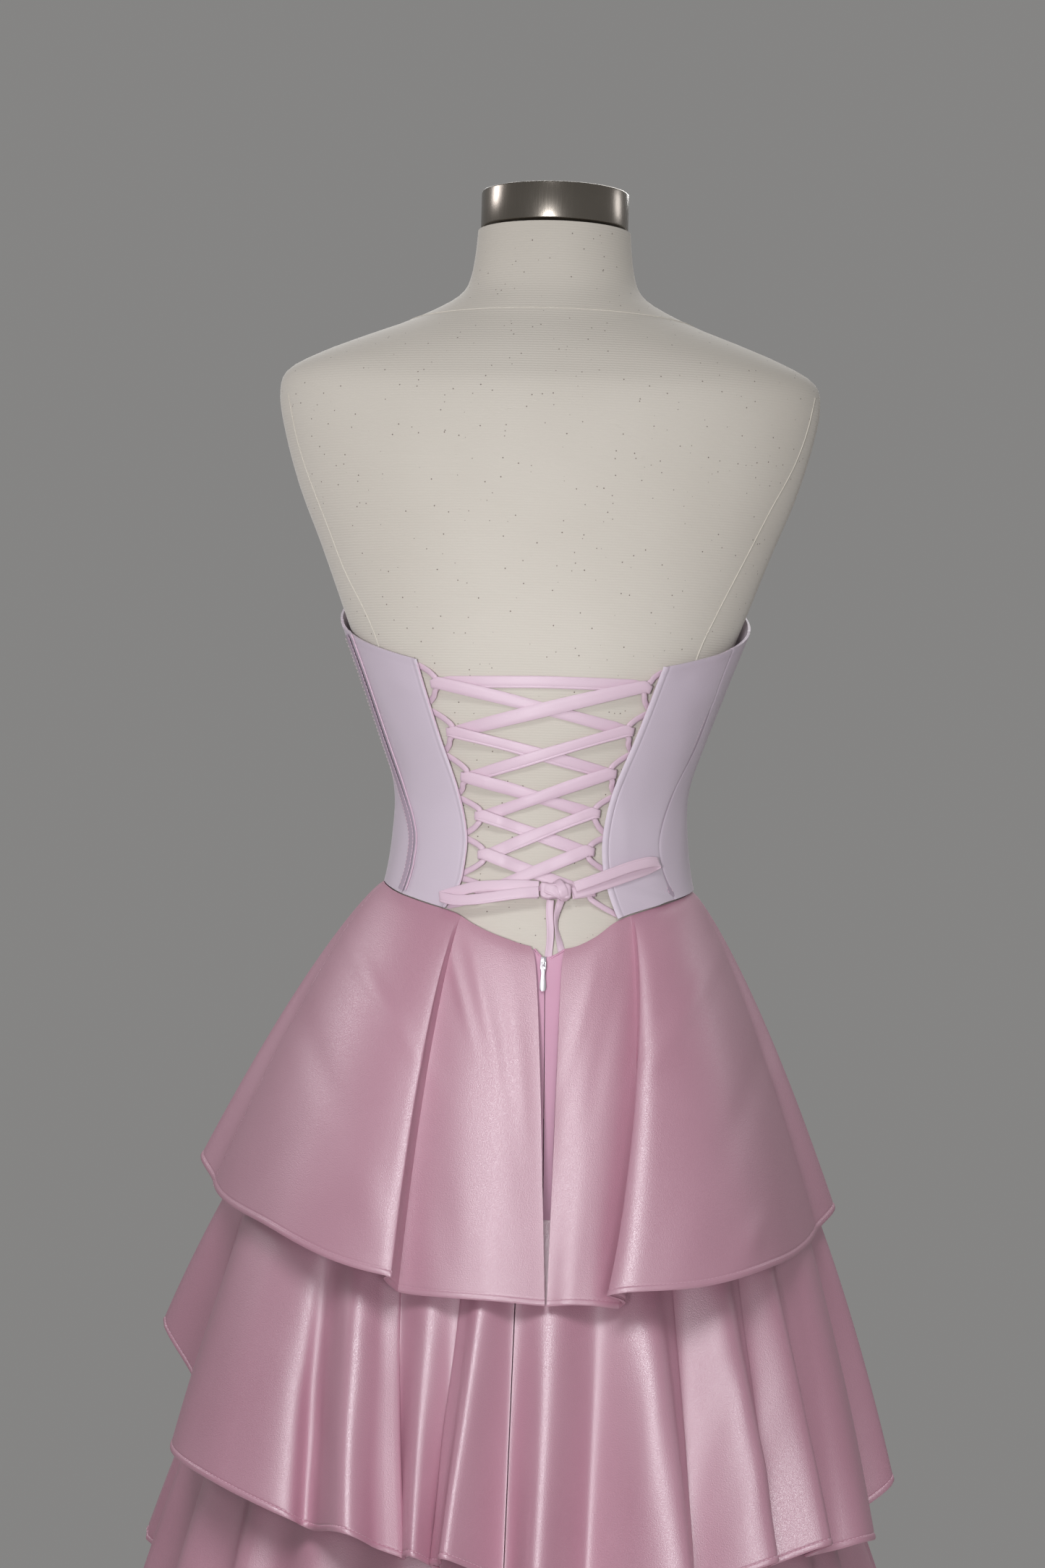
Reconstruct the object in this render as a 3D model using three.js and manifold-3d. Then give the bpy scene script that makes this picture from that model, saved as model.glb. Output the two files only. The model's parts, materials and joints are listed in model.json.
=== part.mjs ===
// A high-low gown with a laced corset back and four flounced tiers, worn on a limbless dress form.
// Millimetres, +Z up. The origin is the middle of the stand's underside on the floor.
// The gown's front faces -Y and its laced back faces +Y. The wearer's left is +X.
// An angle round the body runs from the centre back towards the wearer's left, in degrees.
import * as THREE from "three";
import Module from "manifold-3d";

const wasm = await Module();
wasm.setup();

const DEGREE = Math.PI / 180;
const { lerp, clamp } = THREE.MathUtils;

// Materials
const finish = (color, roughness, metalness = 0) =>
  new THREE.MeshStandardMaterial({ color, roughness, metalness });
const BODICE_SATIN = finish(0xcdbcd0, 0.55);
const LACE_SATIN = finish(0xdfc6dc, 0.5);
const SKIRT_SATIN = finish(0xcf98a8, 0.4);
const UNDERSKIRT_SATIN = finish(0xd7a3c5, 0.6);
const FORM_JERSEY = finish(0xcbc5b8, 0.9);
const NICKEL = finish(0x8c8880, 0.3, 1);
const SILVER = finish(0xb9b9bd, 0.3, 1);
const BLACK_PAINT = finish(0x2a2a2c, 0.5);

// A table is read between its rows with a smooth cubic through one named column
function read(rows, key, column, at) {
  const last = rows.length - 1;
  let i = 0;
  while (i < last - 1 && at > rows[i + 1][key]) i += 1;
  const slope = (k) => {
    const low = rows[Math.max(k - 1, 0)];
    const high = rows[Math.min(k + 1, last)];
    return (high[column] - low[column]) / (high[key] - low[key]);
  };
  const span = rows[i + 1][key] - rows[i][key];
  const u = clamp((at - rows[i][key]) / span, 0, 1);
  const ease = 3 * u ** 2 - 2 * u ** 3;
  const leave = (u ** 3 - 2 * u ** 2 + u) * span * slope(i);
  const arrive = (u ** 3 - u ** 2) * span * slope(i + 1);
  return lerp(rows[i][column], rows[i + 1][column], ease) + leave + arrive;
}
// An angle brought into the span from -180 to 180
const turned = (angle) => ((((angle + 180) % 360) + 360) % 360) - 180;

// Dress form: a row per level with the half width, the depths behind and before the axis, and its shift
const TORSO = [
  { z: 798, half: 146, back: 104, front: 94, shift: 0 },
  { z: 860, half: 147, back: 111, front: 98, shift: 0 },
  { z: 900, half: 139, back: 107, front: 99, shift: 0 },
  { z: 930, half: 128, back: 99, front: 98, shift: 0 },
  { z: 967, half: 113.5, back: 88, front: 93, shift: 0 },
  { z: 1020, half: 107, back: 82, front: 90, shift: 0 },
  { z: 1048, half: 109, back: 84, front: 92, shift: 0 },
  { z: 1082, half: 120, back: 88, front: 98, shift: 0 },
  { z: 1121, half: 134, back: 92, front: 106, shift: 0 },
  { z: 1166, half: 151, back: 96, front: 115, shift: 0 },
  { z: 1227, half: 174, back: 101, front: 116, shift: 0 },
  { z: 1272, half: 192, back: 104, front: 106, shift: 0 },
  { z: 1317, half: 205, back: 103, front: 94, shift: 0 },
  { z: 1346, half: 209, back: 98, front: 84, shift: 0 },
  { z: 1362, half: 203, back: 91, front: 77, shift: -2 },
  { z: 1376, half: 178, back: 84, front: 70, shift: -4 },
  { z: 1390, half: 144, back: 76, front: 63, shift: -7 },
  { z: 1402, half: 113, back: 69, front: 58, shift: -10 },
  { z: 1418, half: 81, back: 62, front: 54, shift: -13 },
  { z: 1428, half: 69, back: 59, front: 53, shift: -14.5 },
  { z: 1440, half: 64, back: 58, front: 53, shift: -16.5 },
  { z: 1458, half: 61, back: 58, front: 55, shift: -19 },
  { z: 1476.5, half: 59.5, back: 58.5, front: 58, shift: -21 },
];
const BUST = { angle: 34, z: 1201, reach: 29, spread: 25, tall: 50 };

function torsoPoint(z, angle) {
  const sine = Math.sin(angle * DEGREE);
  const cosine = Math.cos(angle * DEGREE);
  const depth = read(TORSO, "z", cosine > 0 ? "back" : "front", z);
  const fromFront = 180 - Math.abs(turned(angle));
  const level = Math.exp(-(((z - BUST.z) / BUST.tall) ** 2));
  const lift = BUST.reach * level * Math.exp(-(((fromFront - BUST.angle) / BUST.spread) ** 2));
  const y = (depth + lift) * cosine + read(TORSO, "z", "shift", z);
  return new THREE.Vector3(read(TORSO, "z", "half", z) * sine, y, z);
}
function skinNormal(z, angle) {
  const around = torsoPoint(z, angle + 1).sub(torsoPoint(z, angle - 1));
  const upward = torsoPoint(z + 2, angle).sub(torsoPoint(z - 2, angle));
  return upward.cross(around).normalize();
}
// A point lifted off the form along its normal
const skin = (z, angle, lift) => torsoPoint(z, angle).addScaledVector(skinNormal(z, angle), lift);
// The angle at which the form's back passes a distance from the centre line
const angleAt = (x, z) => Math.asin(clamp(x / read(TORSO, "z", "half", z), -1, 1)) / DEGREE;
const onBack = (x, z, lift) => skin(z, angleAt(x, z), lift);

// Closed solids from points and faces, turned to face out
function solid(points, faces) {
  const position = new Float32Array(points.flatMap((p) => [p.x, p.y, p.z]));
  const volume = faces.reduce(
    (sum, [a, b, c]) => sum + points[a].dot(new THREE.Vector3().crossVectors(points[b], points[c])),
    0,
  );
  const outward = volume < 0 ? faces.map(([a, b, c]) => [a, c, b]) : faces;
  const geometry = new THREE.BufferGeometry();
  geometry.setAttribute("position", new THREE.BufferAttribute(position, 3));
  geometry.setIndex(outward.flat());
  geometry.computeVertexNormals();
  return geometry;
}
const quad = (a, b, c, d) => [
  [a, b, c],
  [a, c, d],
];
// A wall between an outer and an inner grid of points, closed round its rim
function wall(outer, inner) {
  const rows = outer.length;
  const columns = outer[0].length;
  const side = rows * columns;
  const at = (i, j) => i * columns + j;
  const faces = [];
  for (let i = 0; i < rows - 1; i += 1)
    for (let j = 0; j < columns - 1; j += 1) {
      const ring = [at(i, j), at(i, j + 1), at(i + 1, j + 1), at(i + 1, j)];
      const outside = quad(...ring);
      faces.push(...outside, ...outside.map(([a, b, c]) => [a + side, c + side, b + side]));
    }
  const rim = [];
  for (let j = 0; j < columns; j += 1) rim.push(at(0, j));
  for (let i = 1; i < rows; i += 1) rim.push(at(i, columns - 1));
  for (let j = columns - 2; j >= 0; j -= 1) rim.push(at(rows - 1, j));
  for (let i = rows - 2; i > 0; i -= 1) rim.push(at(i, 0));
  rim.forEach((a, k) => {
    const b = rim[(k + 1) % rim.length];
    faces.push(...quad(b, a, a + side, b + side));
  });
  return solid([...outer.flat(), ...inner.flat()], faces);
}
// A grid of points from a function of the share across and the share down
const grid = (shares, depths, point) => depths.map((v) => shares.map((u) => point(u, v)));
const steps = (count) => Array.from({ length: count + 1 }, (_, k) => k / count);

// A strip swept along stations: each has a point, the way its face looks, a width and a thickness
function strip(stations) {
  const sections = stations.map((station, k) => {
    const before = stations[Math.max(k - 1, 0)].p;
    const after = stations[Math.min(k + 1, stations.length - 1)].p;
    const along = after.clone().sub(before).normalize();
    const across = new THREE.Vector3().crossVectors(along, station.n).normalize();
    const face = new THREE.Vector3().crossVectors(across, along).normalize();
    const w = station.w / 2;
    const t = station.t / 2;
    const corners = [
      [w, t],
      [-w, t],
      [-w, -t],
      [w, -t],
    ];
    return corners.map(([a, b]) => station.p.clone().addScaledVector(across, a).addScaledVector(face, b));
  });
  const size = sections[0].length;
  const faces = [];
  for (let k = 0; k < sections.length - 1; k += 1)
    for (let c = 0; c < size; c += 1) {
      const d = (c + 1) % size;
      faces.push(...quad(k * size + c, k * size + d, (k + 1) * size + d, (k + 1) * size + c));
    }
  const end = (sections.length - 1) * size;
  for (let c = 1; c < size - 1; c += 1) {
    faces.push([0, c + 1, c]);
    faces.push([end, end + c, end + c + 1]);
  }
  return solid(sections.flat(), faces);
}
const toManifold = (geometry) =>
  new wasm.Manifold(
    new wasm.Mesh({
      numProp: 3,
      vertProperties: geometry.attributes.position.array,
      triVerts: new Uint32Array(geometry.index.array),
    }),
  );
function fromManifold(made) {
  const mesh = made.getMesh();
  const geometry = new THREE.BufferGeometry();
  geometry.setAttribute("position", new THREE.BufferAttribute(mesh.vertProperties, 3));
  geometry.setIndex(new THREE.BufferAttribute(mesh.triVerts, 1));
  geometry.computeVertexNormals();
  return geometry;
}
const joined = (geometries) => fromManifold(wasm.Manifold.union(geometries.map(toManifold)));

const gown = new THREE.Group();
gown.name = "high_low_gown";
function add(name, geometry, material) {
  const mesh = new THREE.Mesh(geometry, material);
  mesh.name = name;
  gown.add(mesh);
}

// Seams of the gown
const SIDE_SIGNS = [
  ["left", 1],
  ["right", -1],
];
const SEAM_GAP = 0.3;
const BODICE = { lift: 5.3, thick: 2, rows: 8, bust_rows: 11, middle: 1050, seam_inset: 0.09 };
const TOP_EDGE = [
  { angle: 30, z: 1135 },
  { angle: 40, z: 1138 },
  { angle: 68, z: 1154 },
  { angle: 90, z: 1170 },
  { angle: 120, z: 1197 },
  { angle: 147, z: 1224 },
  { angle: 165, z: 1212 },
  { angle: 180, z: 1188 },
];
// The seam at the bodice's foot, which drops into a V towards the zip at the centre back
const WAIST = [
  { angle: -180, z: 965 },
  { angle: -90, z: 966 },
  { angle: -56, z: 958 },
  { angle: -35, z: 949 },
  { angle: -27, z: 943 },
  { angle: -19, z: 932 },
  { angle: -10, z: 924 },
  { angle: 2, z: 925 },
  { angle: 10, z: 930 },
  { angle: 21, z: 939 },
  { angle: 29, z: 947 },
  { angle: 36, z: 950.5 },
  { angle: 56, z: 958 },
  { angle: 90, z: 967.5 },
  { angle: 180, z: 965 },
];
// Inner edges of the two back panels and the seams beside them, as distances from the centre line
const BACK_SEAMS = [
  { z: 940, edge_left: 73, seam_left: 107, edge_right: -61, seam_right: -106 },
  { z: 952, edge_left: 66, seam_left: 103, edge_right: -55.5, seam_right: -102 },
  { z: 967, edge_left: 57, seam_left: 97.5, edge_right: -50.3, seam_right: -95 },
  { z: 984, edge_left: 53.4, seam_left: 93.5, edge_right: -46.6, seam_right: -88.5 },
  { z: 1007, edge_left: 52.2, seam_left: 92.3, edge_right: -46, seam_right: -86 },
  { z: 1041, edge_left: 59.4, seam_left: 101.5, edge_right: -52, seam_right: -94.5 },
  { z: 1082, edge_left: 74.2, seam_left: 116.5, edge_right: -67.6, seam_right: -112.5 },
  { z: 1132, edge_left: 91, seam_left: 135, edge_right: -85.4, seam_right: -130 },
  { z: 1160, edge_left: 99, seam_left: 146, edge_right: -95, seam_right: -140 },
];
const SIDE_SEAM = 91;
const PRINCESS_SEAM = [
  { z: 940, angle: 158 },
  { z: 1020, angle: 157 },
  { z: 1110, angle: 152 },
  { z: 1203, angle: 146 },
  { z: 1230, angle: 146 },
];
const seamAngle = (name) => (z) => angleAt(read(BACK_SEAMS, "z", name, z), z);
const sideSeam = (sign) => () => sign * SIDE_SEAM;
const princessSeam = (sign) => (z) => sign * read(PRINCESS_SEAM, "z", "angle", z);
const topEdge = (angle) => read(TOP_EDGE, "angle", "z", Math.abs(turned(angle)));
const waist = (angle) => read(WAIST, "angle", "z", turned(angle));

// A point of a cut panel between two seams, at shares across and down, found in a few passes
const PASSES = 6;
function panelPoint(from, to, across, down, lift) {
  let angle = lerp(from(BODICE.middle), to(BODICE.middle), across);
  let z = BODICE.middle;
  for (let pass = 0; pass < PASSES; pass += 1) {
    z = lerp(topEdge(angle), waist(angle) + SEAM_GAP, down);
    angle = lerp(from(z), to(z), across);
  }
  return skin(z, angle, lift);
}
function panel(from, to, columns, rows = BODICE.rows) {
  const inset = BODICE.seam_inset * Math.sign(to(BODICE.middle) - from(BODICE.middle));
  const a = (z) => from(z) + inset;
  const b = (z) => to(z) - inset;
  const sheet = (lift) =>
    grid(steps(columns), steps(rows), (u, v) => panelPoint(a, b, u, v, lift));
  return wall(sheet(BODICE.lift), sheet(BODICE.lift - BODICE.thick));
}
for (const [side, sign] of SIDE_SIGNS) {
  const edge = seamAngle(`edge_${side}`);
  const seam = seamAngle(`seam_${side}`);
  add(`bodice_back_${side}`, panel(edge, seam, 5), BODICE_SATIN);
  add(`bodice_side_back_${side}`, panel(seam, sideSeam(sign), 5), BODICE_SATIN);
  const sideFront = panel(sideSeam(sign), princessSeam(sign), 8, BODICE.bust_rows);
  add(`bodice_side_front_${side}`, sideFront, BODICE_SATIN);
}
const frontEnd = (z) => 360 - princessSeam(1)(z);
add("bodice_front", panel(princessSeam(1), frontEnd, 9, BODICE.bust_rows), BODICE_SATIN);

// Boning channels, laid on the panels over the seams beside the laced edges
const CHANNEL = { width: 4.6, thick: 0.9, clear: 0.6, rows: 16, end: 0.012 };
for (const side of ["left", "right"]) {
  const seam = seamAngle(`seam_${side}`);
  const stations = steps(CHANNEL.rows).map((v) => {
    const share = lerp(CHANNEL.end, 1 - CHANNEL.end, v);
    const lift = BODICE.lift + CHANNEL.clear + CHANNEL.thick / 2;
    const p = panelPoint(seam, seam, 0, share, lift);
    return { p, n: skinNormal(p.z, seam(p.z)), w: CHANNEL.width, t: CHANNEL.thick };
  });
  add(`boning_channel_${side}`, strip(stations), BODICE_SATIN);
}

// Lacing loops: where each rouleau loop leaves the panel, its tip, and where it comes back
const LOOPS = {
  left: [
    { start_x: 90.4, start_z: 1133, tip_x: 76.3, tip_z: 1121, end_x: 82.5, end_z: 1106 },
    { start_x: 79.7, start_z: 1099, tip_x: 63.4, tip_z: 1084.4, end_x: 69.5, end_z: 1070 },
    { start_x: 67.9, start_z: 1066, tip_x: 52.1, tip_z: 1050.4, end_x: 58.5, end_z: 1038 },
    { start_x: 57.2, start_z: 1034, tip_x: 41, tip_z: 1021, end_x: 52.3, end_z: 1008 },
    { start_x: 52.2, start_z: 1004, tip_x: 38.1, tip_z: 992, end_x: 53.6, end_z: 978 },
    { start_x: 54.8, start_z: 974, tip_x: 39.5, tip_z: 964, end_x: 62.5, end_z: 953 },
  ],
  right: [
    { start_x: -85, start_z: 1132, tip_x: -73, tip_z: 1122, end_x: -77, end_z: 1105 },
    { start_x: -75, start_z: 1101, tip_x: -60.4, tip_z: 1088.5, end_x: -64, end_z: 1074 },
    { start_x: -63, start_z: 1070, tip_x: -48.4, tip_z: 1056, end_x: -52.2, end_z: 1042 },
    { start_x: -51.5, start_z: 1038, tip_x: -37.2, tip_z: 1025.5, end_x: -46.2, end_z: 1011 },
    { start_x: -46, start_z: 1007, tip_x: -33.8, tip_z: 996.5, end_x: -47, end_z: 983 },
    { start_x: -47.5, start_z: 979, tip_x: -35.6, tip_z: 966, end_x: -56, end_z: 950 },
  ],
};
const LOOP = { wide: 4.6, thick: 2.6, root_thick: 1.1, lift: 3.8, root_lift: 1.05, tip_half: 5.7, under: 4 };
const BEND = { back: 1.6, half_rise: 0.55, corner: 0.45, root: 0.6 };
const TAPE = { wide: 5, thick: 1, lift: 1.15, inside: 4.2, stations: 12, top: 1131, foot: 953 };

const flat = (x, z) => new THREE.Vector2(x, z);
function loopStations(loop, sign) {
  const start = flat(loop.start_x, loop.start_z);
  const end = flat(loop.end_x, loop.end_z);
  const middle = start.clone().add(end).multiplyScalar(0.5);
  const tip = flat(loop.tip_x, loop.tip_z);
  const away = middle.sub(tip).normalize();
  const centre = tip.clone().addScaledVector(away, LOOP.wide / 2);
  const down = flat(-away.y, away.x).multiplyScalar(-sign);
  const upper = centre.clone().addScaledVector(down, -LOOP.tip_half).addScaledVector(away, BEND.back);
  const lower = centre.clone().addScaledVector(down, LOOP.tip_half).addScaledVector(away, BEND.back);
  const under = flat(sign * LOOP.under, 0);
  const rows = [
    { at: start.clone().add(under), rise: 0 },
    { at: start.clone().addScaledVector(under, BEND.root), rise: 0 },
    { at: start.clone().lerp(upper, 0.5), rise: BEND.half_rise },
    { at: upper, rise: 1 },
    { at: centre.clone().addScaledVector(down, -LOOP.tip_half * BEND.corner), rise: 1 },
    { at: centre.clone().addScaledVector(down, LOOP.tip_half * BEND.corner), rise: 1 },
    { at: lower, rise: 1 },
    { at: end.clone().lerp(lower, 0.5), rise: BEND.half_rise },
    { at: end.clone().addScaledVector(under, BEND.root), rise: 0 },
    { at: end.clone().add(under), rise: 0 },
  ];
  return rows.map(({ at, rise }) => ({
    p: onBack(at.x, at.y, lerp(LOOP.root_lift, LOOP.lift, rise)),
    n: skinNormal(at.y, angleAt(at.x, at.y)),
    w: LOOP.wide,
    t: lerp(LOOP.root_thick, LOOP.thick, rise),
  }));
}
function edgeTape(side, sign) {
  return strip(
    steps(TAPE.stations).map((v) => {
      const z = lerp(TAPE.top, TAPE.foot, v);
      const x = read(BACK_SEAMS, "z", `edge_${side}`, z) + sign * TAPE.inside;
      return { p: onBack(x, z, TAPE.lift), n: skinNormal(z, angleAt(x, z)), w: TAPE.wide, t: TAPE.thick };
    }),
  );
}
for (const [side, sign] of SIDE_SIGNS) {
  const rouleaux = LOOPS[side].map((loop) => strip(loopStations(loop, sign)));
  add(`loops_${side}`, joined([edgeTape(side, sign), ...rouleaux]), LACE_SATIN);
}

// Lace: one flat rouleau that comes from behind each loop, turns through it and leaves over its front
const LACE = {
  wide: 7.4,
  turn_wide: 4.2,
  thick: 1.5,
  low: 1.4,
  over: 3.5,
  high: 6.3,
  hold: 15,
  leave: 13,
  leave_lift: 5.4,
  station: 14,
  end_lift: 4.4,
};
const TURN = [
  { out: 1.2, lift: 1.4, face: 0 },
  { out: 3.2, lift: 2.1, face: 45 },
  { out: 3.8, lift: 3.8, face: 90 },
  { out: 3.2, lift: 5.5, face: 135 },
  { out: 1.2, lift: 6.3, face: 180 },
];
const MIDDLE_TOP = { x: 0, z: 1122.5 };
const LACE_START = [0.08, 0.22, 0.36, 0.5, 0.64, 0.78, 0.92];
const LACE_END = [0.2, 0.6, 1];
// The order in which each half of the lace visits the loops, from the top strand down to the knot
const LEFT_HALF = ["left", "right", "left", "right", "left", "right"];
const RIGHT_HALF = ["right", "left", "right", "left", "right", "left"];
const KNOT = { x: -12.2, z: 965.5, wide: 23, tall: 14, low: 3.2, deep: 9.4, clear: 0.9 };

// Lift of a strand over the form, a way along it; the strands that fall to the wearer's left lie on top
function strandLift(s, length, onTop) {
  const middle = length / 2;
  const crossing = onTop ? LACE.over : LACE.low;
  const rows = [
    { s: 0, lift: LACE.high },
    { s: LACE.leave, lift: LACE.leave_lift },
    { s: middle - LACE.hold, lift: crossing },
    { s: middle + LACE.hold, lift: crossing },
    { s: length - LACE.leave, lift: LACE.low },
    { s: length, lift: LACE.low },
  ];
  const i = Math.max(1, rows.findIndex((row) => row.s >= s));
  const share = (s - rows[i - 1].s) / (rows[i].s - rows[i - 1].s);
  return lerp(rows[i - 1].lift, rows[i].lift, share);
}
function laceHalf(order, knotSide) {
  const visits = order.map((side, k) => {
    const loop = LOOPS[side][k];
    const middle = flat((loop.start_x + loop.end_x) / 2, (loop.start_z + loop.end_z) / 2);
    const tip = flat(loop.tip_x, loop.tip_z);
    const away = middle.sub(tip).normalize();
    return { side, tip, away, centre: tip.clone().addScaledVector(away, LOOP.wide / 2) };
  });
  const stations = [];
  let outward = 1;
  const place = (x, z, lift, out = null, face = 0) => {
    const normal = skinNormal(z, angleAt(x, z));
    if (out) {
      const aside = onBack(x + out.x, z + out.y, lift).sub(onBack(x, z, lift)).normalize();
      normal.multiplyScalar(-Math.cos(face * DEGREE)).addScaledVector(aside, Math.sin(face * DEGREE));
      normal.multiplyScalar(-outward).normalize();
    } else normal.multiplyScalar(outward);
    const w = out ? LACE.turn_wide : LACE.wide;
    stations.push({ p: onBack(x, z, lift), n: normal, w, t: LACE.thick });
  };
  const strand = (from, to, liftAt) => {
    const length = from.distanceTo(to);
    for (const share of steps(Math.ceil(length / LACE.station))) {
      if (share === 1) break;
      const at = from.clone().lerp(to, share);
      place(at.x, at.y, liftAt(share * length, length));
    }
  };
  let from = flat(MIDDLE_TOP.x, MIDDLE_TOP.z);
  for (const share of LACE_START) {
    const at = from.clone().lerp(visits[0].tip, share);
    place(at.x, at.y, LACE.low);
  }
  visits.forEach((visit, k) => {
    for (const turn of TURN) {
      const at = visit.centre.clone().addScaledVector(visit.away, turn.out);
      place(at.x, at.y, turn.lift, visit.away, turn.face);
    }
    outward = -outward;
    const next = visits[k + 1];
    from = visit.tip;
    if (next) {
      const onTop = visit.side === "right";
      strand(from, next.tip, (s, length) => strandLift(s, length, onTop));
    } else {
      const end = flat(KNOT.x + knotSide * (KNOT.wide / 2 + KNOT.clear), KNOT.z - 1);
      for (const share of LACE_END) {
        const at = from.clone().lerp(end, share);
        place(at.x, at.y, lerp(LACE.high, LACE.end_lift, share));
      }
    }
  });
  return stations;
}
const leftHalf = laceHalf(LEFT_HALF, -1);
const rightHalf = laceHalf(RIGHT_HALF, 1);
add("lace", strip([...leftHalf.reverse(), ...rightHalf]), LACE_SATIN);

// Knot, bow and tails
const KNOT_SECTION = [
  [-0.5, -0.2],
  [-0.36, -0.5],
  [0.36, -0.5],
  [0.5, -0.2],
  [0.5, 0.25],
  [0.34, 0.5],
  [-0.34, 0.5],
  [-0.5, 0.25],
];
function knot() {
  const layers = [
    { lift: KNOT.low, size: 0.86 },
    { lift: KNOT.low + KNOT.deep * 0.4, size: 1 },
    { lift: KNOT.low + KNOT.deep * 0.75, size: 0.94 },
    { lift: KNOT.low + KNOT.deep, size: 0.6 },
  ];
  const rings = layers.map(({ lift, size }) =>
    KNOT_SECTION.map(([a, b]) => onBack(KNOT.x + a * KNOT.wide * size, KNOT.z + b * KNOT.tall * size, lift)),
  );
  const size = KNOT_SECTION.length;
  const faces = [];
  for (let k = 0; k < rings.length - 1; k += 1)
    for (let c = 0; c < size; c += 1) {
      const d = (c + 1) % size;
      faces.push(...quad(k * size + c, k * size + d, (k + 1) * size + d, (k + 1) * size + c));
    }
  const end = (rings.length - 1) * size;
  for (let c = 1; c < size - 1; c += 1) {
    faces.push([0, c + 1, c]);
    faces.push([end, end + c, end + c + 1]);
  }
  return solid(rings.flat(), faces);
}
add("bow_knot", knot(), LACE_SATIN);

// A bow loop leaves the knot low, turns over at its tip and comes back above itself
const BOW = {
  left: [
    { x: -0.35, z: 968.5, lift: 8.6 },
    { x: 12, z: 968.8, lift: 9.3 },
    { x: 28, z: 968.2, lift: 9.2 },
    { x: 44, z: 966.5, lift: 9 },
    { x: 58, z: 961, lift: 9 },
    { x: 65.5, z: 957.7, lift: 9.2, face: 25 },
    { x: 68, z: 957, lift: 10.8, face: 90 },
    { x: 65.2, z: 956.5, lift: 12.6, face: 155 },
    { x: 56, z: 954.6, lift: 13.2, face: 180 },
    { x: 42, z: 955.6, lift: 13.2, face: 180 },
    { x: 26, z: 959, lift: 13, face: 180 },
    { x: 12, z: 962, lift: 12.4, face: 180 },
    { x: -0.35, z: 963.8, lift: 11.2, face: 180 },
  ],
  right: [
    { x: -24.9, z: 963.4, lift: 8.6 },
    { x: -36, z: 967, lift: 9.3 },
    { x: -50, z: 972.5, lift: 9.2 },
    { x: -64, z: 978, lift: 9 },
    { x: -76, z: 983.6, lift: 9.1 },
    { x: -81.5, z: 986.4, lift: 9.6, face: 25 },
    { x: -83.4, z: 987, lift: 11, face: 90 },
    { x: -81, z: 987.5, lift: 12.5, face: 155 },
    { x: -74, z: 987, lift: 13.2, face: 180 },
    { x: -62, z: 984, lift: 13.2, face: 180 },
    { x: -48, z: 978, lift: 13, face: 180 },
    { x: -35, z: 972.3, lift: 12.4, face: 180 },
    { x: -25.4, z: 968.4, lift: 11.2, face: 180 },
  ],
};
const BOW_RIBBON = { wide: 7.2, turn_wide: 3.2, thick: 1.2 };
function bowLoop(rows, sign) {
  return strip(
    rows.map(({ x, z, lift, face = 0 }) => {
      const normal = skinNormal(z, angleAt(x, z));
      const outward = onBack(x + sign, z, lift).sub(onBack(x, z, lift)).normalize();
      normal.multiplyScalar(-Math.cos(face * DEGREE)).addScaledVector(outward, Math.sin(face * DEGREE));
      const bend = Math.sin(face * DEGREE);
      const w = lerp(BOW_RIBBON.wide, BOW_RIBBON.turn_wide, bend);
      return { p: onBack(x, z, lift), n: normal, w, t: BOW_RIBBON.thick };
    }),
  );
}
add("bow_loop_left", bowLoop(BOW.left, 1), LACE_SATIN);
add("bow_loop_right", bowLoop(BOW.right, -1), LACE_SATIN);

// Tails: down from the knot and in behind the top of the zip
const TAILS = { wide: 5.8, thick: 1.1, left_x: -9.6, right_x: -16.2 };
const TAIL_ROWS = [
  { z: 957.8, lift: 5.4 },
  { z: 951, lift: 4.6 },
  { z: 944, lift: 3 },
  { z: 936, lift: 1.6 },
  { z: 925, lift: 1.15 },
  { z: 910, lift: 1.15 },
  { z: 893, lift: 1.15 },
];
for (const side of ["left", "right"]) {
  const x = TAILS[`${side}_x`];
  const stations = TAIL_ROWS.map(({ z, lift }) => ({
    p: onBack(x, z, lift),
    n: skinNormal(z, angleAt(x, z)),
    w: TAILS.wide,
    t: TAILS.thick,
  }));
  add(`lace_tail_${side}`, strip(stations), LACE_SATIN);
}

// Underskirt: an A-line skirt that the tiers are sewn to, a row per level
const A_LINE = [
  { z: 180, half: 248, back: 248, front: 205 },
  { z: 300, half: 243, back: 236, front: 197 },
  { z: 400, half: 237, back: 223, front: 188 },
  { z: 500, half: 230, back: 206, front: 177 },
  { z: 600, half: 226, back: 190, front: 167 },
  { z: 735, half: 206, back: 162, front: 145 },
  { z: 813, half: 184, back: 142, front: 126 },
  { z: 869, half: 164, back: 126, front: 115 },
  { z: 905, half: 148, back: 115, front: 108 },
  { z: 930, half: 133, back: 105, front: 103 },
  { z: 950, half: 121, back: 96, front: 98 },
];
const UNDERSKIRT = { lift: 3.9, thick: 1.2, melt: 40 };
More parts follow.
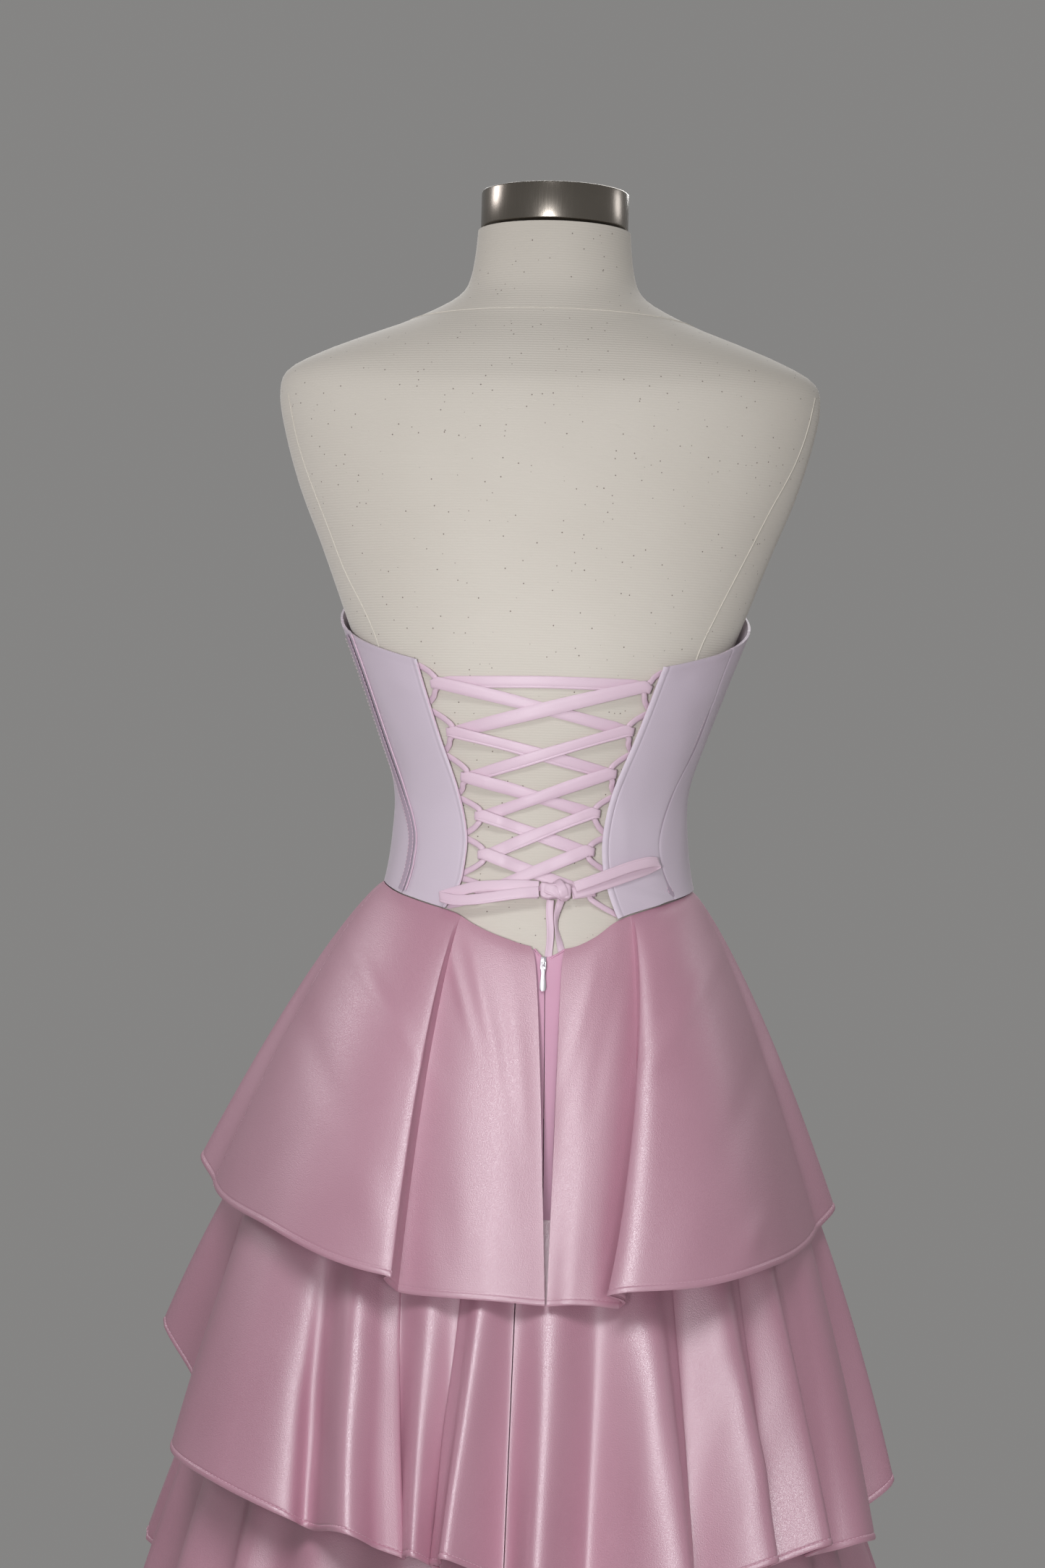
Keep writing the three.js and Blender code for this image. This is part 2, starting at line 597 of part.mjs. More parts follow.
// Hems: a row per angle with the height of each tier's hem
const HEMS = [
  { angle: -180, tier_1: 770, tier_2: 660, tier_3: 555, tier_4: 450 },
  { angle: -135, tier_1: 752, tier_2: 600, tier_3: 470, tier_4: 330 },
  { angle: -100, tier_1: 719, tier_2: 524, tier_3: 350, tier_4: 165 },
  { angle: -75, tier_1: 707, tier_2: 478, tier_3: 300, tier_4: 95 },
  { angle: -50, tier_1: 692, tier_2: 488, tier_3: 280, tier_4: 50 },
  { angle: -28, tier_1: 675, tier_2: 478, tier_3: 265, tier_4: 24 },
  { angle: -5, tier_1: 675, tier_2: 484, tier_3: 262, tier_4: 18 },
  { angle: 25, tier_1: 682, tier_2: 502, tier_3: 275, tier_4: 32 },
  { angle: 50, tier_1: 714, tier_2: 520, tier_3: 305, tier_4: 72 },
  { angle: 75, tier_1: 730, tier_2: 541, tier_3: 365, tier_4: 150 },
  { angle: 97, tier_1: 743, tier_2: 598, tier_3: 435, tier_4: 240 },
  { angle: 135, tier_1: 758, tier_2: 640, tier_3: 515, tier_4: 370 },
  { angle: 180, tier_1: 770, tier_2: 660, tier_3: 555, tier_4: 450 },
];
const hem = (number, angle) => read(HEMS, "angle", `tier_${number}`, turned(angle));
const SEWN_ABOVE = 56;
const SEWN_CLEAR = { back: 0.8, front: 1.2 };

function oval(angle, z, size) {
  const sine = Math.sin(angle * DEGREE);
  const cosine = Math.cos(angle * DEGREE);
  const half = sine > 0 ? size.left : size.right;
  const depth = cosine > 0 ? size.back : size.front;
  return new THREE.Vector3(half * sine, depth * cosine, z);
}
// The underskirt leaves the form just below the waist seam and becomes the A-line
function underskirtPoint(angle, z) {
  const half = read(A_LINE, "z", "half", z);
  const back = read(A_LINE, "z", "back", z);
  const size = { left: half, right: half, back, front: read(A_LINE, "z", "front", z) };
  const free = oval(angle, z, size);
  const top = waist(angle);
  const share = THREE.MathUtils.smoothstep(top - z, 0, UNDERSKIRT.melt);
  return skin(Math.min(z, top), angle, UNDERSKIRT.lift).setZ(z).lerp(free, share);
}
// The way a surface looks: across by down
const STEP = 1e-3;
const NEAR = 2e-3;
function facing(point, u, v) {
  const across = point(u + STEP, v).sub(point(u - STEP, v));
  const along = point(u, v + STEP).sub(point(u, v - STEP));
  return across.cross(along).normalize();
}
const ZIP = { angle: -2.5, gap: 0.1 };
const ZIP_OPEN = {
  left: { angle: 1.9, top: 924.7, stop: 913.5 },
  right: { angle: -10, top: 923.7, stop: 912.9 },
};
const UNDER_FOOT = 42;
const UNDER_PARTS = [
  { name: "back_left", from: 0, to: 97, columns: 12 },
  { name: "front", from: 97, to: 258, columns: 18 },
  { name: "back_right", from: 258, to: 360, columns: 12 },
];
const UNDER_DEPTHS = [0, 0.018, 0.06, 0.12, 0.25, 0.5, 0.75, 1];
function underskirtGrid(part) {
  const point = (u, v) => {
    const open = v < UNDER_DEPTHS[1] ? 1 - v / UNDER_DEPTHS[1] : 0;
    const from = ZIP.angle + part.from + ZIP.gap;
    const to = ZIP.angle + part.to - ZIP.gap;
    const first = part.from === 0 ? lerp(from, ZIP_OPEN.left.angle, open) : from;
    const last = part.to === 360 ? lerp(to, 360 + ZIP_OPEN.right.angle, open) : to;
    const angle = lerp(first, last, u);
    const foot = hem(3, angle) + UNDER_FOOT;
    return underskirtPoint(angle, lerp(waist(angle) - SEAM_GAP, foot, v));
  };
  const outer = grid(steps(part.columns), UNDER_DEPTHS, point);
  const inner = grid(steps(part.columns), UNDER_DEPTHS, (u, v) => {
    const normal = facing(point, clamp(u, NEAR, 1 - NEAR), clamp(v, NEAR, 1 - NEAR));
    return point(u, v).addScaledVector(normal, -UNDERSKIRT.thick);
  });
  return wall(outer, inner);
}
for (const part of UNDER_PARTS) add(`underskirt_${part.name}`, underskirtGrid(part), UNDERSKIRT_SATIN);

// Tiers. A fold runs from one valley angle to the next: "top" where it is sewn, "hem" where it hangs.
// depth is how far the ridge stands out at the hem. full flattens the ridge and lean pushes it sideways.
// tuckFrom and tuckTo let its flanks overhang the valleys, in degrees. skew moves the ridge to one end.
const PLAIN_FOLD = { depth: 0, full: 2, lean: 0, tuckFrom: 0, tuckTo: 0, skew: 1 };
const fold = (top, foot, depth, shape = {}) => ({ ...PLAIN_FOLD, top, hem: foot, depth, ...shape });
const TIER_1_FOLDS = [
  fold(1.9, -3.3, 11, { full: 2.6, lean: -0.04 }),
  fold(30, 22.5, 40, { full: 2.6, tuckFrom: 9.6, skew: 0.46 }),
  fold(84, 82, 13),
  fold(112, 110, 17),
  fold(136, 136, 18),
  fold(160, 160, 15),
  fold(183, 183, 17),
  fold(207, 207, 17),
  fold(232, 232, 18),
  fold(256, 256, 15),
  fold(277, 279, 40, { full: 2.6, tuckTo: 8.8, skew: 1.9 }),
  fold(323, 343, 11, { full: 2.6, lean: 0.04 }),
  fold(350, 356.2, 0),
];
const TIER_2_FOLDS = [
  fold(2.3, 2.9, 34, { lean: 0.24, tuckTo: 2 }),
  fold(12.5, 13.6, 20, { lean: -0.05 }),
  fold(25, 20, 40, { lean: -0.2, tuckFrom: 3.2 }),
  fold(42, 37, 36, { full: 3, tuckFrom: 4.3, skew: 0.74 }),
  fold(86, 87, 34, { lean: 0.1 }),
  fold(106, 107, 30),
  fold(124, 125, 28, { lean: 0.1 }),
  fold(144, 144, 29),
  fold(164, 163, 25, { lean: -0.1 }),
  fold(183, 183, 27),
  fold(202, 204, 29, { lean: 0.1 }),
  fold(224, 225, 28),
  fold(244, 245, 31),
  fold(260, 262, 32, { lean: 0.1 }),
  fold(276, 277, 30, { full: 2.4, lean: 0.12, tuckTo: 1.5 }),
  fold(302, 305, 30, { lean: -0.2 }),
  fold(315, 317, 36, { lean: -0.2, tuckFrom: 2 }),
  fold(331, 333, 40, { full: 2.4, lean: -0.25, tuckFrom: 2.5 }),
  fold(347, 349.8, 28, { full: 2.2, lean: 0.12 }),
  fold(361.6, 362.2, 0),
];
// The lower flounces hang in flutes of unequal width, from one edge of the slit at the back to the other
const SLIT_HALF = 0.12;
function flutes(count, slit, depth) {
  const uneven = (k) => 0.24 * Math.sin(2.4 * k + count) + 0.12 * Math.sin(5.1 * k);
  const widths = steps(count - 1).map((_, k) => 1 + uneven(k));
  const total = widths.reduce((sum, w) => sum + w, 0);
  let at = slit;
  const rows = widths.map((w, k) => {
    const deep = depth * (0.9 + 0.16 * Math.sin(1.9 * k + 1));
    const row = fold(at, at, deep, { lean: 0.22 * Math.sin(2.9 * k + 0.6) });
    at += (w / total) * (360 - 2 * SLIT_HALF);
    return row;
  });
  return [...rows, fold(at, at, 0)];
}
// In each tier: hem half sizes, "raise" lifts the hem where a ridge stands out, "swell" bends the slope,
// "sink" sets the valleys in, and "grow" is how the folds deepen on their way down.
const TIERS = [
  {
    number: 1,
    folds: TIER_1_FOLDS,
    hem: { left: 251, right: 229, back: 211, front: 188 },
    raise: 0.55,
    swell: 0.82,
    sink: 6,
    grow: 0.75,
    depths: [0, 0.15, 0.42, 0.72, 1],
    step: 15,
  },
  {
    number: 2,
    folds: TIER_2_FOLDS,
    hem: { left: 269, right: 270, back: 258, front: 222 },
    raise: 0.5,
    swell: 0.95,
    sink: 15,
    grow: 1,
    depths: [0, 0.3, 0.65, 1],
    step: 19,
  },
  {
    number: 3,
    folds: flutes(23, 1.5, 32),
    hem: { left: 283, right: 297, back: 318, front: 254 },
    raise: 0.35,
    swell: 1.1,
    sink: 12,
    grow: 1,
    depths: [0, 0.3, 0.65, 1],
    step: 15,
  },
  {
    number: 4,
    folds: flutes(25, -1, 36),
    hem: { left: 345, right: 360, back: 428, front: 288 },
    raise: 0.35,
    swell: 1.25,
    sink: 15,
    grow: 1,
    depths: [0, 0.25, 0.6, 1],
    step: 21,
  },
];
const CLOTH_THICK = 1.8;
const TIER_LIFT = 6.2;
const TIER_INSET = 0.004;

const outwardAt = (angle) => new THREE.Vector3(Math.sin(angle * DEGREE), Math.cos(angle * DEGREE), 0);
const sewnClear = (angle) => lerp(SEWN_CLEAR.front, SEWN_CLEAR.back, (1 + Math.cos(angle * DEGREE)) / 2);
// A tuck is a soft push near one end of a fold
const TUCK = 0.24;
const tuckShape = (u) => (u > 0 && u < TUCK ? Math.sin((Math.PI * u) / TUCK) ** 2 : 0);
// A tier's point: u counts folds and the share within one, v runs from the seam to the hem
function tierPoint(tier, u, v) {
  const last = tier.folds.length - 2;
  const k = clamp(Math.floor(u), 0, last);
  const w = u - k;
  const here = tier.folds[k];
  const next = tier.folds[k + 1];
  const down = Math.max(v, 0);
  const width = lerp(next.top - here.top, next.hem - here.hem, down);
  const ridge = Math.sin(Math.PI * clamp(w, 0, 1)) ** 2;
  let angle = lerp(here.top, here.hem, down) + w * width + here.lean * width * ridge * down;
  angle += (here.tuckTo * tuckShape(1 - w) - here.tuckFrom * tuckShape(w)) * down;
  const rise = 1 - Math.abs(Math.cos(Math.PI * clamp(w, 0, 1) ** here.skew)) ** here.full;
  const foot = hem(tier.number, angle) + tier.raise * here.depth * rise;
  const top = tier.number === 1 ? waist(angle) - SEAM_GAP : hem(tier.number - 1, angle) + SEWN_ABOVE;
  const start = tier.number === 1 ? skin(top, angle, TIER_LIFT) : underskirtPoint(angle, top);
  if (tier.number > 1) start.addScaledVector(outwardAt(angle), CLOTH_THICK + sewnClear(angle));
  const end = oval(angle, foot, tier.hem);
  const share = down ** tier.swell;
  const p = new THREE.Vector3(lerp(start.x, end.x, share), lerp(start.y, end.y, share), lerp(top, foot, v));
  const stand = here.depth * rise * down ** tier.grow - tier.sink * down ** (tier.grow + 1);
  return p.addScaledVector(outwardAt(angle), stand);
}
// Stations round a tier: each fold gets as many as its width at the hem needs, fewer in the plain front
const SIDES = { left: 95, right: 262 };
const FRONT_STEP = 1.6;
function tierStations(tier) {
  const list = [];
  for (let k = 0; k < tier.folds.length - 1; k += 1) {
    const { hem: from, depth } = tier.folds[k];
    const arc = (tier.folds[k + 1].hem - from) * DEGREE * tier.hem.left;
    const inFront = from > SIDES.left - 5 && from < SIDES.right - 5;
    const count = Math.max(4, Math.round((arc + depth) / (tier.step * (inFront ? FRONT_STEP : 1))));
    for (let j = 0; j < count; j += 1) list.push(k + j / count);
  }
  list.push(tier.folds.length - 1);
  return list;
}
// Each tier is cut in three: its seams fall in the valley nearest to each side
function tierPart(tier, from, to) {
  const stations = tierStations(tier);
  const valleys = tier.folds.map((row, k) => ({ k, off: (angle) => Math.abs(row.hem - angle) }));
  const nearest = (angle) => valleys.reduce((best, v) => (v.off(angle) < best.off(angle) ? v : best)).k;
  const chosen = stations.filter((u) => u >= nearest(from) && u <= nearest(to));
  const ends = [chosen[0], chosen[chosen.length - 1]];
  const point = (u, v) => tierPoint(tier, u, v);
  const columns = chosen.map((u) => clamp(u, ends[0] + TIER_INSET, ends[1] - TIER_INSET));
  const outer = tier.depths.map((v) => columns.map((u) => point(u, v)));
  const normal = (u, v) => facing(point, clamp(u, ends[0] + NEAR, ends[1] - NEAR), clamp(v, NEAR, 1 - NEAR));
  const inside = (u, v) => point(u, v).addScaledVector(normal(u, v), -CLOTH_THICK);
  const inner = tier.depths.map((v) => columns.map((u) => inside(u, v)));
  return wall(outer, inner);
}
for (const tier of TIERS) {
  const parts = [
    { name: "back_left", from: 0, to: SIDES.left },
    { name: "front", from: SIDES.left, to: SIDES.right },
    { name: "back_right", from: SIDES.right, to: 360 },
  ];
  for (const part of parts)
    add(`tier_${tier.number}_${part.name}`, tierPart(tier, part.from, part.to), SKIRT_SATIN);
}

// Dress form
const COLUMNS_ROUND = 26;
const MORE_LEVELS = [948, 982, 1000, 1034, 1064, 1100, 1190, 1208];
function torso() {
  const levels = [...TORSO.map((row) => row.z), ...MORE_LEVELS].sort((a, b) => a - b);
  const rings = levels.map((z) =>
    steps(COLUMNS_ROUND).slice(0, -1).map((u) => torsoPoint(z, u * 360)),
  );
  const points = rings.flat();
  const faces = [];
  const count = COLUMNS_ROUND;
  for (let k = 0; k < rings.length - 1; k += 1)
    for (let c = 0; c < count; c += 1) {
      const d = (c + 1) % count;
      faces.push(...quad(k * count + c, k * count + d, (k + 1) * count + d, (k + 1) * count + c));
    }
  const low = points.push(new THREE.Vector3(0, 0, levels[0])) - 1;
  const top = TORSO[TORSO.length - 1];
  const high = points.push(new THREE.Vector3(0, top.shift, top.z)) - 1;
  const end = (rings.length - 1) * count;
  for (let c = 0; c < count; c += 1) {
    const d = (c + 1) % count;
    faces.push([low, d, c]);
    faces.push([high, end + c, end + d]);
  }
  return solid(points, faces);
}
add("form_torso", torso(), FORM_JERSEY);

// A turned solid about an upright axis, from rows of radius and height
function turnedSolid(profile, segments, y) {
  const points = [];
  const starts = [];
  for (const [r, z] of profile) {
    starts.push(points.length);
    const ring = r === 0 ? [0] : steps(segments).slice(0, -1);
    for (const u of ring) {
      const a = u * Math.PI * 2;
      points.push(new THREE.Vector3(r * Math.cos(a), y + r * Math.sin(a), z));
    }
  }
  const faces = [];
  for (let k = 0; k < profile.length - 1; k += 1)
    for (let c = 0; c < segments; c += 1) {
      const d = (c + 1) % segments;
      const [low, high] = [starts[k], starts[k + 1]];
      if (profile[k][0] === 0) faces.push([low, high + c, high + d]);
      else if (profile[k + 1][0] === 0) faces.push([low + c, high, low + d]);
      else faces.push(...quad(low + c, high + c, high + d, low + d));
    }
  return solid(points, faces);
}
const NECK_CAP = [
  [0, 1476.8],
  [56.5, 1476.8],
  [57.5, 1477.8],
  [57.5, 1503],
  [56, 1505],
  [30, 1506.5],
  [0, 1507],
];
const NECK_Y = -21;
add("neck_cap", turnedSolid(NECK_CAP, 24, NECK_Y), NICKEL);
const POST = [
  [0, 22.4],
  [14, 22.4],
  [14, 797.6],
  [0, 797.6],
];
add("stand_post", turnedSolid(POST, 16, 0), NICKEL);
const BASE = [
  [0, 0],
  [178, 0],
  [180, 2],
  [180, 8],
  [172, 12],
  [40, 20],
  [22, 22],
  [0, 22],
];
add("stand_base", turnedSolid(BASE, 24, 0), BLACK_PAINT);

// Zip: two ends of coil along the open V, the slider, and the pull that hangs on the slider's bridge
const COIL = { wide: 1.7, thick: 1.4, inside: 1.15, top: 923, foot: 919.6 };
for (const [side, sign] of SIDE_SIGNS) {
  const edge = ZIP_OPEN[side];
  const edgeX = (z) => {
    const open = (z - edge.stop) / (edge.top - edge.stop);
    return underskirtPoint(lerp(ZIP.angle, edge.angle, open), z).x - sign * COIL.inside;
  };
  const stations = [COIL.top, (COIL.top + COIL.foot) / 2, COIL.foot].map((z) => ({
    p: onBack(edgeX(z), z, UNDERSKIRT.lift - 0.4),
    n: skinNormal(z, 0),
    w: COIL.wide,
    t: COIL.thick,
  }));
  add(`zip_coil_${side}`, strip(stations), UNDERSKIRT_SATIN);
}
// The slider and its pull are drawn flat and upright, then tipped on to the skirt's slope
const SLIDER = { x: -5.2, z: 913.5, wide: 6.2, tall: 8.6, deep: 2.6, clear: 0.5 };
const BRIDGE = { wide: 1.6, tall: 6, reach: 2.5, window_deep: 1.6, window_tall: 3.4 };
const HINGE_OUT = SLIDER.deep + BRIDGE.window_deep / 2;
const slopeY = (z) => underskirtPoint(ZIP.angle, z).y;
const SLOPE = Math.atan2(slopeY(SLIDER.z - 6) - slopeY(SLIDER.z + 6), 12);
const seat = new THREE.Matrix4()
  .makeTranslation(SLIDER.x, slopeY(SLIDER.z) + SLIDER.clear, SLIDER.z)
  .multiply(new THREE.Matrix4().makeRotationX(SLOPE));

// A geometry with shared corners, ready for joining and cutting
function welded(geometry) {
  const seen = new Map();
  const points = [];
  const position = geometry.attributes.position;
  const order = geometry.index ? [...geometry.index.array] : [...Array(position.count).keys()];
  const corners = order.map((i) => {
    const p = new THREE.Vector3().fromBufferAttribute(position, i);
    const key = p.toArray().map((value) => value.toFixed(4)).join();
    if (!seen.has(key)) seen.set(key, points.push(p) - 1);
    return seen.get(key);
  });
  const faces = [];
  for (let i = 0; i < corners.length; i += 3) faces.push(corners.slice(i, i + 3));
  return solid(points, faces);
}
const block = (w, d, h, y, z) => toManifold(welded(new THREE.BoxGeometry(w, d, h).translate(0, y + d / 2, z)));
const sliderBody = block(SLIDER.wide, SLIDER.deep, SLIDER.tall, 0, 0);
const bridge = block(BRIDGE.wide, BRIDGE.reach + 0.2, BRIDGE.tall, SLIDER.deep - 0.2, 0);
const bridgeWindow = block(BRIDGE.wide + 1, BRIDGE.window_deep, BRIDGE.window_tall, SLIDER.deep, 0);
const sliderSolid = fromManifold(sliderBody.add(bridge).subtract(bridgeWindow));
add("zip_slider", sliderSolid.applyMatrix4(seat), SILVER);

// The pull's outline from its bar at the top to its rounded foot, with a window for the bridge
const PULL = {
  thick: 0.9,
  bar: 0.45,
  shoulder: 2.3,
  shoulder_foot: 5,
  window: 1.25,
  window_foot: 4.2,
  neck: 1.5,
  neck_top: 7.2,
  neck_foot: 9.2,
  flare: 16.1,
  foot: 23,
  bulb: 2.4,
};
function pullShape() {
  const shape = new THREE.Shape();
  shape.moveTo(-PULL.shoulder, PULL.bar);
  shape.lineTo(-PULL.shoulder, -PULL.shoulder_foot);
  shape.quadraticCurveTo(-PULL.neck, -PULL.neck_top, -PULL.neck, -PULL.neck_foot);
  shape.quadraticCurveTo(-PULL.bulb, -PULL.flare, -PULL.bulb, -PULL.foot + PULL.bulb);
  shape.absarc(0, -PULL.foot + PULL.bulb, PULL.bulb, Math.PI, Math.PI * 2, false);
  shape.quadraticCurveTo(PULL.bulb, -PULL.flare, PULL.neck, -PULL.neck_foot);
  shape.quadraticCurveTo(PULL.neck, -PULL.neck_top, PULL.shoulder, -PULL.shoulder_foot);
  shape.lineTo(PULL.shoulder, PULL.bar);
  const hole = new THREE.Path();
  hole.moveTo(-PULL.window, -PULL.bar);
  hole.lineTo(PULL.window, -PULL.bar);
  hole.lineTo(PULL.window, -PULL.window_foot);
  hole.lineTo(-PULL.window, -PULL.window_foot);
  shape.holes.push(hole);
  return shape;
}
const pullForm = { depth: PULL.thick, bevelEnabled: false, curveSegments: 6 };
const pull = new THREE.ExtrudeGeometry(pullShape(), pullForm);
pull.translate(0, 0, -PULL.thick / 2).rotateX(Math.PI / 2).translate(0, HINGE_OUT, 0);
add("zip_pull", welded(pull).applyMatrix4(seat), SILVER);

export default gown;
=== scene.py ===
# %% [markdown]
# # A high-low gown on a dress form
# The gown is a strapless bodice with an open, laced back over a skirt of four satin flounces.
# It is worn on a form without limbs. The part's solids come first, as a fixed frame that says
# where everything is. Each piece made here stands for one of those solids and moves with its body.

# %% Load the frame
import json
import math

import bpy
import numpy as np
from mathutils import Matrix, Vector


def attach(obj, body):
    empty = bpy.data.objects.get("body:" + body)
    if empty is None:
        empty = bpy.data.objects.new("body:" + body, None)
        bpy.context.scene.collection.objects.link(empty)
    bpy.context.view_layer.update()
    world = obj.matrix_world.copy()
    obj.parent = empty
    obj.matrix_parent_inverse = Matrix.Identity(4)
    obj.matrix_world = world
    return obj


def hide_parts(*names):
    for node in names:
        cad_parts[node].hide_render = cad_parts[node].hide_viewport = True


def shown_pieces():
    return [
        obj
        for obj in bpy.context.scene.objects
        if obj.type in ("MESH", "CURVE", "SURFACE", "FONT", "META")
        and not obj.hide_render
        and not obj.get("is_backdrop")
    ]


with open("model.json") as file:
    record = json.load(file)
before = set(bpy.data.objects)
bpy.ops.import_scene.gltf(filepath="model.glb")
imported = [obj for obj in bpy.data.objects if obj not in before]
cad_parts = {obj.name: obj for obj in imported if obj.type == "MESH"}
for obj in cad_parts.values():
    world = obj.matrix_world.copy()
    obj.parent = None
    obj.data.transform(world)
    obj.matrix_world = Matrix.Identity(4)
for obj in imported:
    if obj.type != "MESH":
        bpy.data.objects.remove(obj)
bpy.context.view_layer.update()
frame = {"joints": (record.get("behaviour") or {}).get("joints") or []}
GOWN = "gown_and_form"
PULL = "zip_pull"
MM = 0.001

# %% [markdown]
# ## Camera
# The photograph was taken from behind, at waist height, from about two and a half metres with a
# lens a little longer than normal, and the picture leans by one and a half degrees. The camera's
# own axes are built from those facts, so that nothing has to be aimed by eye.

# %% Camera
EYE = Vector((0.0137, 2.5, 1.046))
FRAME_TALL = 36
FOCAL_SHARE = 4464 / 2168
LEAN = math.radians(1.5)

side, up = Vector((-1, 0, 0)), Vector((0, 0, 1))
camera_side = side * math.cos(LEAN) + up * math.sin(LEAN)
camera_up = up * math.cos(LEAN) - side * math.sin(LEAN)
turn = Matrix((camera_side, camera_up, camera_side.cross(camera_up))).transposed().to_4x4()
turn.translation = EYE
lens = bpy.data.cameras.new("photo_camera")
lens.sensor_fit = "VERTICAL"
lens.sensor_height = FRAME_TALL
lens.lens = FRAME_TALL * FOCAL_SHARE
lens.clip_end = 60
camera = bpy.data.objects.new("photo_camera", lens)
camera.matrix_world = turn
bpy.context.scene.collection.objects.link(camera)
bpy.context.scene.camera = camera
print("lens:", round(lens.lens, 1), "mm")

# %% [markdown]
# ## Light and floor
# Satin shows its folds by long, soft highlights. A flash beside the camera turns every stretch of
# cloth that looks at it pale and leaves the flanks deep rose. A high and a low light reach the
# flounces, weak panels soften the sides and the front, and a pale floor sends some light back up.

# %% Light and floor
WORLD_GREY = (0.235, 0.232, 0.228, 1)
FLOOR_GREY = (0.62, 0.61, 0.60, 1)
COOL = (0.97, 0.975, 1)
# name, place, aim, size, power, colour and cone in degrees; a light without a cone is a panel
LIGHTS = [
    ("left_soft", (2.0, -0.6, 2.1), (0.1, 0, 0.8), 0.5, 7, (1, 0.97, 1), 0),
    ("right_soft", (-2.0, -0.9, 1.9), (0, 0, 0.7), 0.5, 3, (0.97, 0.97, 1), 0),
    ("front_soft", (-0.3, -2.6, 2.9), (0, 0, 0.9), 1.8, 62, (1, 1, 1), 0),
    ("flash", (0.45, 2.55, 1.0), (0, 0, 1.24), 0.22, 162, COOL, 29),
    ("skirt_light", (0.3, 2.3, 2.6), (0, 0.2, 0.1), 0.6, 215, COOL, 37),
    ("low_light", (-0.3, 2.45, 0.75), (0, 0.1, 0.3), 0.35, 72, COOL, 37),
]

for name, at, aim, size, power, colour, cone in LIGHTS:
    way = (Vector(aim) - Vector(at)).to_track_quat("-Z", "Y").to_euler()
    bpy.ops.object.light_add(type="SPOT" if cone else "AREA", location=at, rotation=way)
    lamp = bpy.context.active_object
    lamp.name = name
    lamp.data.energy = power
    lamp.data.color = colour
    if cone:
        lamp.data.shadow_soft_size = size
        lamp.data.spot_size = math.radians(cone)
        lamp.data.spot_blend = 1
    else:
        lamp.data.size = size

world = bpy.data.worlds.new("room")
world.use_nodes = True
world.node_tree.nodes["Background"].inputs["Color"].default_value = WORLD_GREY
bpy.context.scene.world = world
bpy.context.scene.view_settings.view_transform = "Standard"

bpy.ops.object.select_all(action="DESELECT")
bpy.ops.mesh.primitive_circle_add(vertices=96, radius=1.6, fill_type="NGON", location=(0, 0, -0.0005))
floor = bpy.context.active_object
floor.name = "floor"
pale = bpy.data.materials.new("pale_floor")
pale.use_nodes = True
surface = pale.node_tree.nodes["Principled BSDF"].inputs
surface["Base Color"].default_value = FLOOR_GREY
surface["Roughness"].default_value = 0.8
floor.data.materials.append(pale)
floor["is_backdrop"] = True
print("lights:", len(LIGHTS))

# %% [markdown]
# ## Reading the gown's sizes
# Short tables of sizes give the gown its form. A smooth cubic through each column gives the
# values between the rows. Numpy reads thousands of places at once, which keeps the script quick.


# %% Reading tables
def read(table, key, column, at):
    keys, values = np.array(table[key], float), np.array(table[column], float)
    last = len(keys) - 1
    at = np.asarray(at, float)
    i = np.clip(np.searchsorted(keys, at, side="left") - 1, 0, last - 1)
    low, high = np.maximum(np.arange(last + 1) - 1, 0), np.minimum(np.arange(last + 1) + 1, last)
    slope = (values[high] - values[low]) / (keys[high] - keys[low])
    span = keys[i + 1] - keys[i]
    u = np.clip((at - keys[i]) / span, 0, 1)
    ease = 3 * u**2 - 2 * u**3
    leave, arrive = (u**3 - 2 * u**2 + u) * span * slope[i], (u**3 - u**2) * span * slope[i + 1]
    return values[i] + (values[i + 1] - values[i]) * ease + leave + arrive


def mix(a, b, share):
    return a + (b - a) * share


def unit(v):
    return v / np.linalg.norm(v, axis=-1, keepdims=True)


def turned(angle):
    return (np.asarray(angle, float) + 180) % 360 - 180


def smooth_step(x, low, high):
    t = np.clip((x - low) / (high - low), 0, 1)
    return t * t * (3 - 2 * t)


def rows_of(text):
    """A table written as a line of column names and then a line for each row."""
    lines = [line.split() for line in text.strip().splitlines()]
    return {name: [float(line[c]) for line in lines[1:]] for c, name in enumerate(lines[0])}


# %% [markdown]
# ## The dress form
# The form's rings widen from the neck to the shoulders, close in at the waist and open at the
# hips. Everything that is worn is placed on this skin: a height, an angle round from the centre
# back towards the wearer's left, and how far it lifts off.

# %% The form's sizes, in millimetres
TORSO = rows_of("""
z half back front shift
798 146 104 94 0
860 147 111 98 0
900 139 107 99 0
930 128 99 98 0
967 113.5 88 93 0
1020 107 82 90 0
1048 109 84 92 0
1082 120 88 98 0
1121 134 92 106 0
1166 151 96 115 0
1227 174 101 116 0
1272 192 104 106 0
1317 205 103 94 0
1346 209 98 84 0
1362 203 91 77 -2
1376 178 84 70 -4
1390 144 76 63 -7
1402 113 69 58 -10
1418 81 62 54 -13
1428 69 59 53 -14.5
1440 64 58 53 -16.5
1458 61 58 55 -19
1476.5 59.5 58.5 58 -21
""")
BUST = {"angle": 34, "z": 1201, "reach": 29, "spread": 25, "tall": 50}


def torso_point(z, angle):
    z, angle = np.broadcast_arrays(np.asarray(z, float), np.asarray(angle, float))
    sine, cosine = np.sin(np.radians(angle)), np.cos(np.radians(angle))
    depth = np.where(cosine > 0, read(TORSO, "z", "back", z), read(TORSO, "z", "front", z))
    from_front = 180 - np.abs(turned(angle))
    level = np.exp(-(((z - BUST["z"]) / BUST["tall"]) ** 2))
    lift = BUST["reach"] * level * np.exp(-(((from_front - BUST["angle"]) / BUST["spread"]) ** 2))
    y = (depth + lift) * cosine + read(TORSO, "z", "shift", z)
    return np.stack([read(TORSO, "z", "half", z) * sine, y, z], -1)


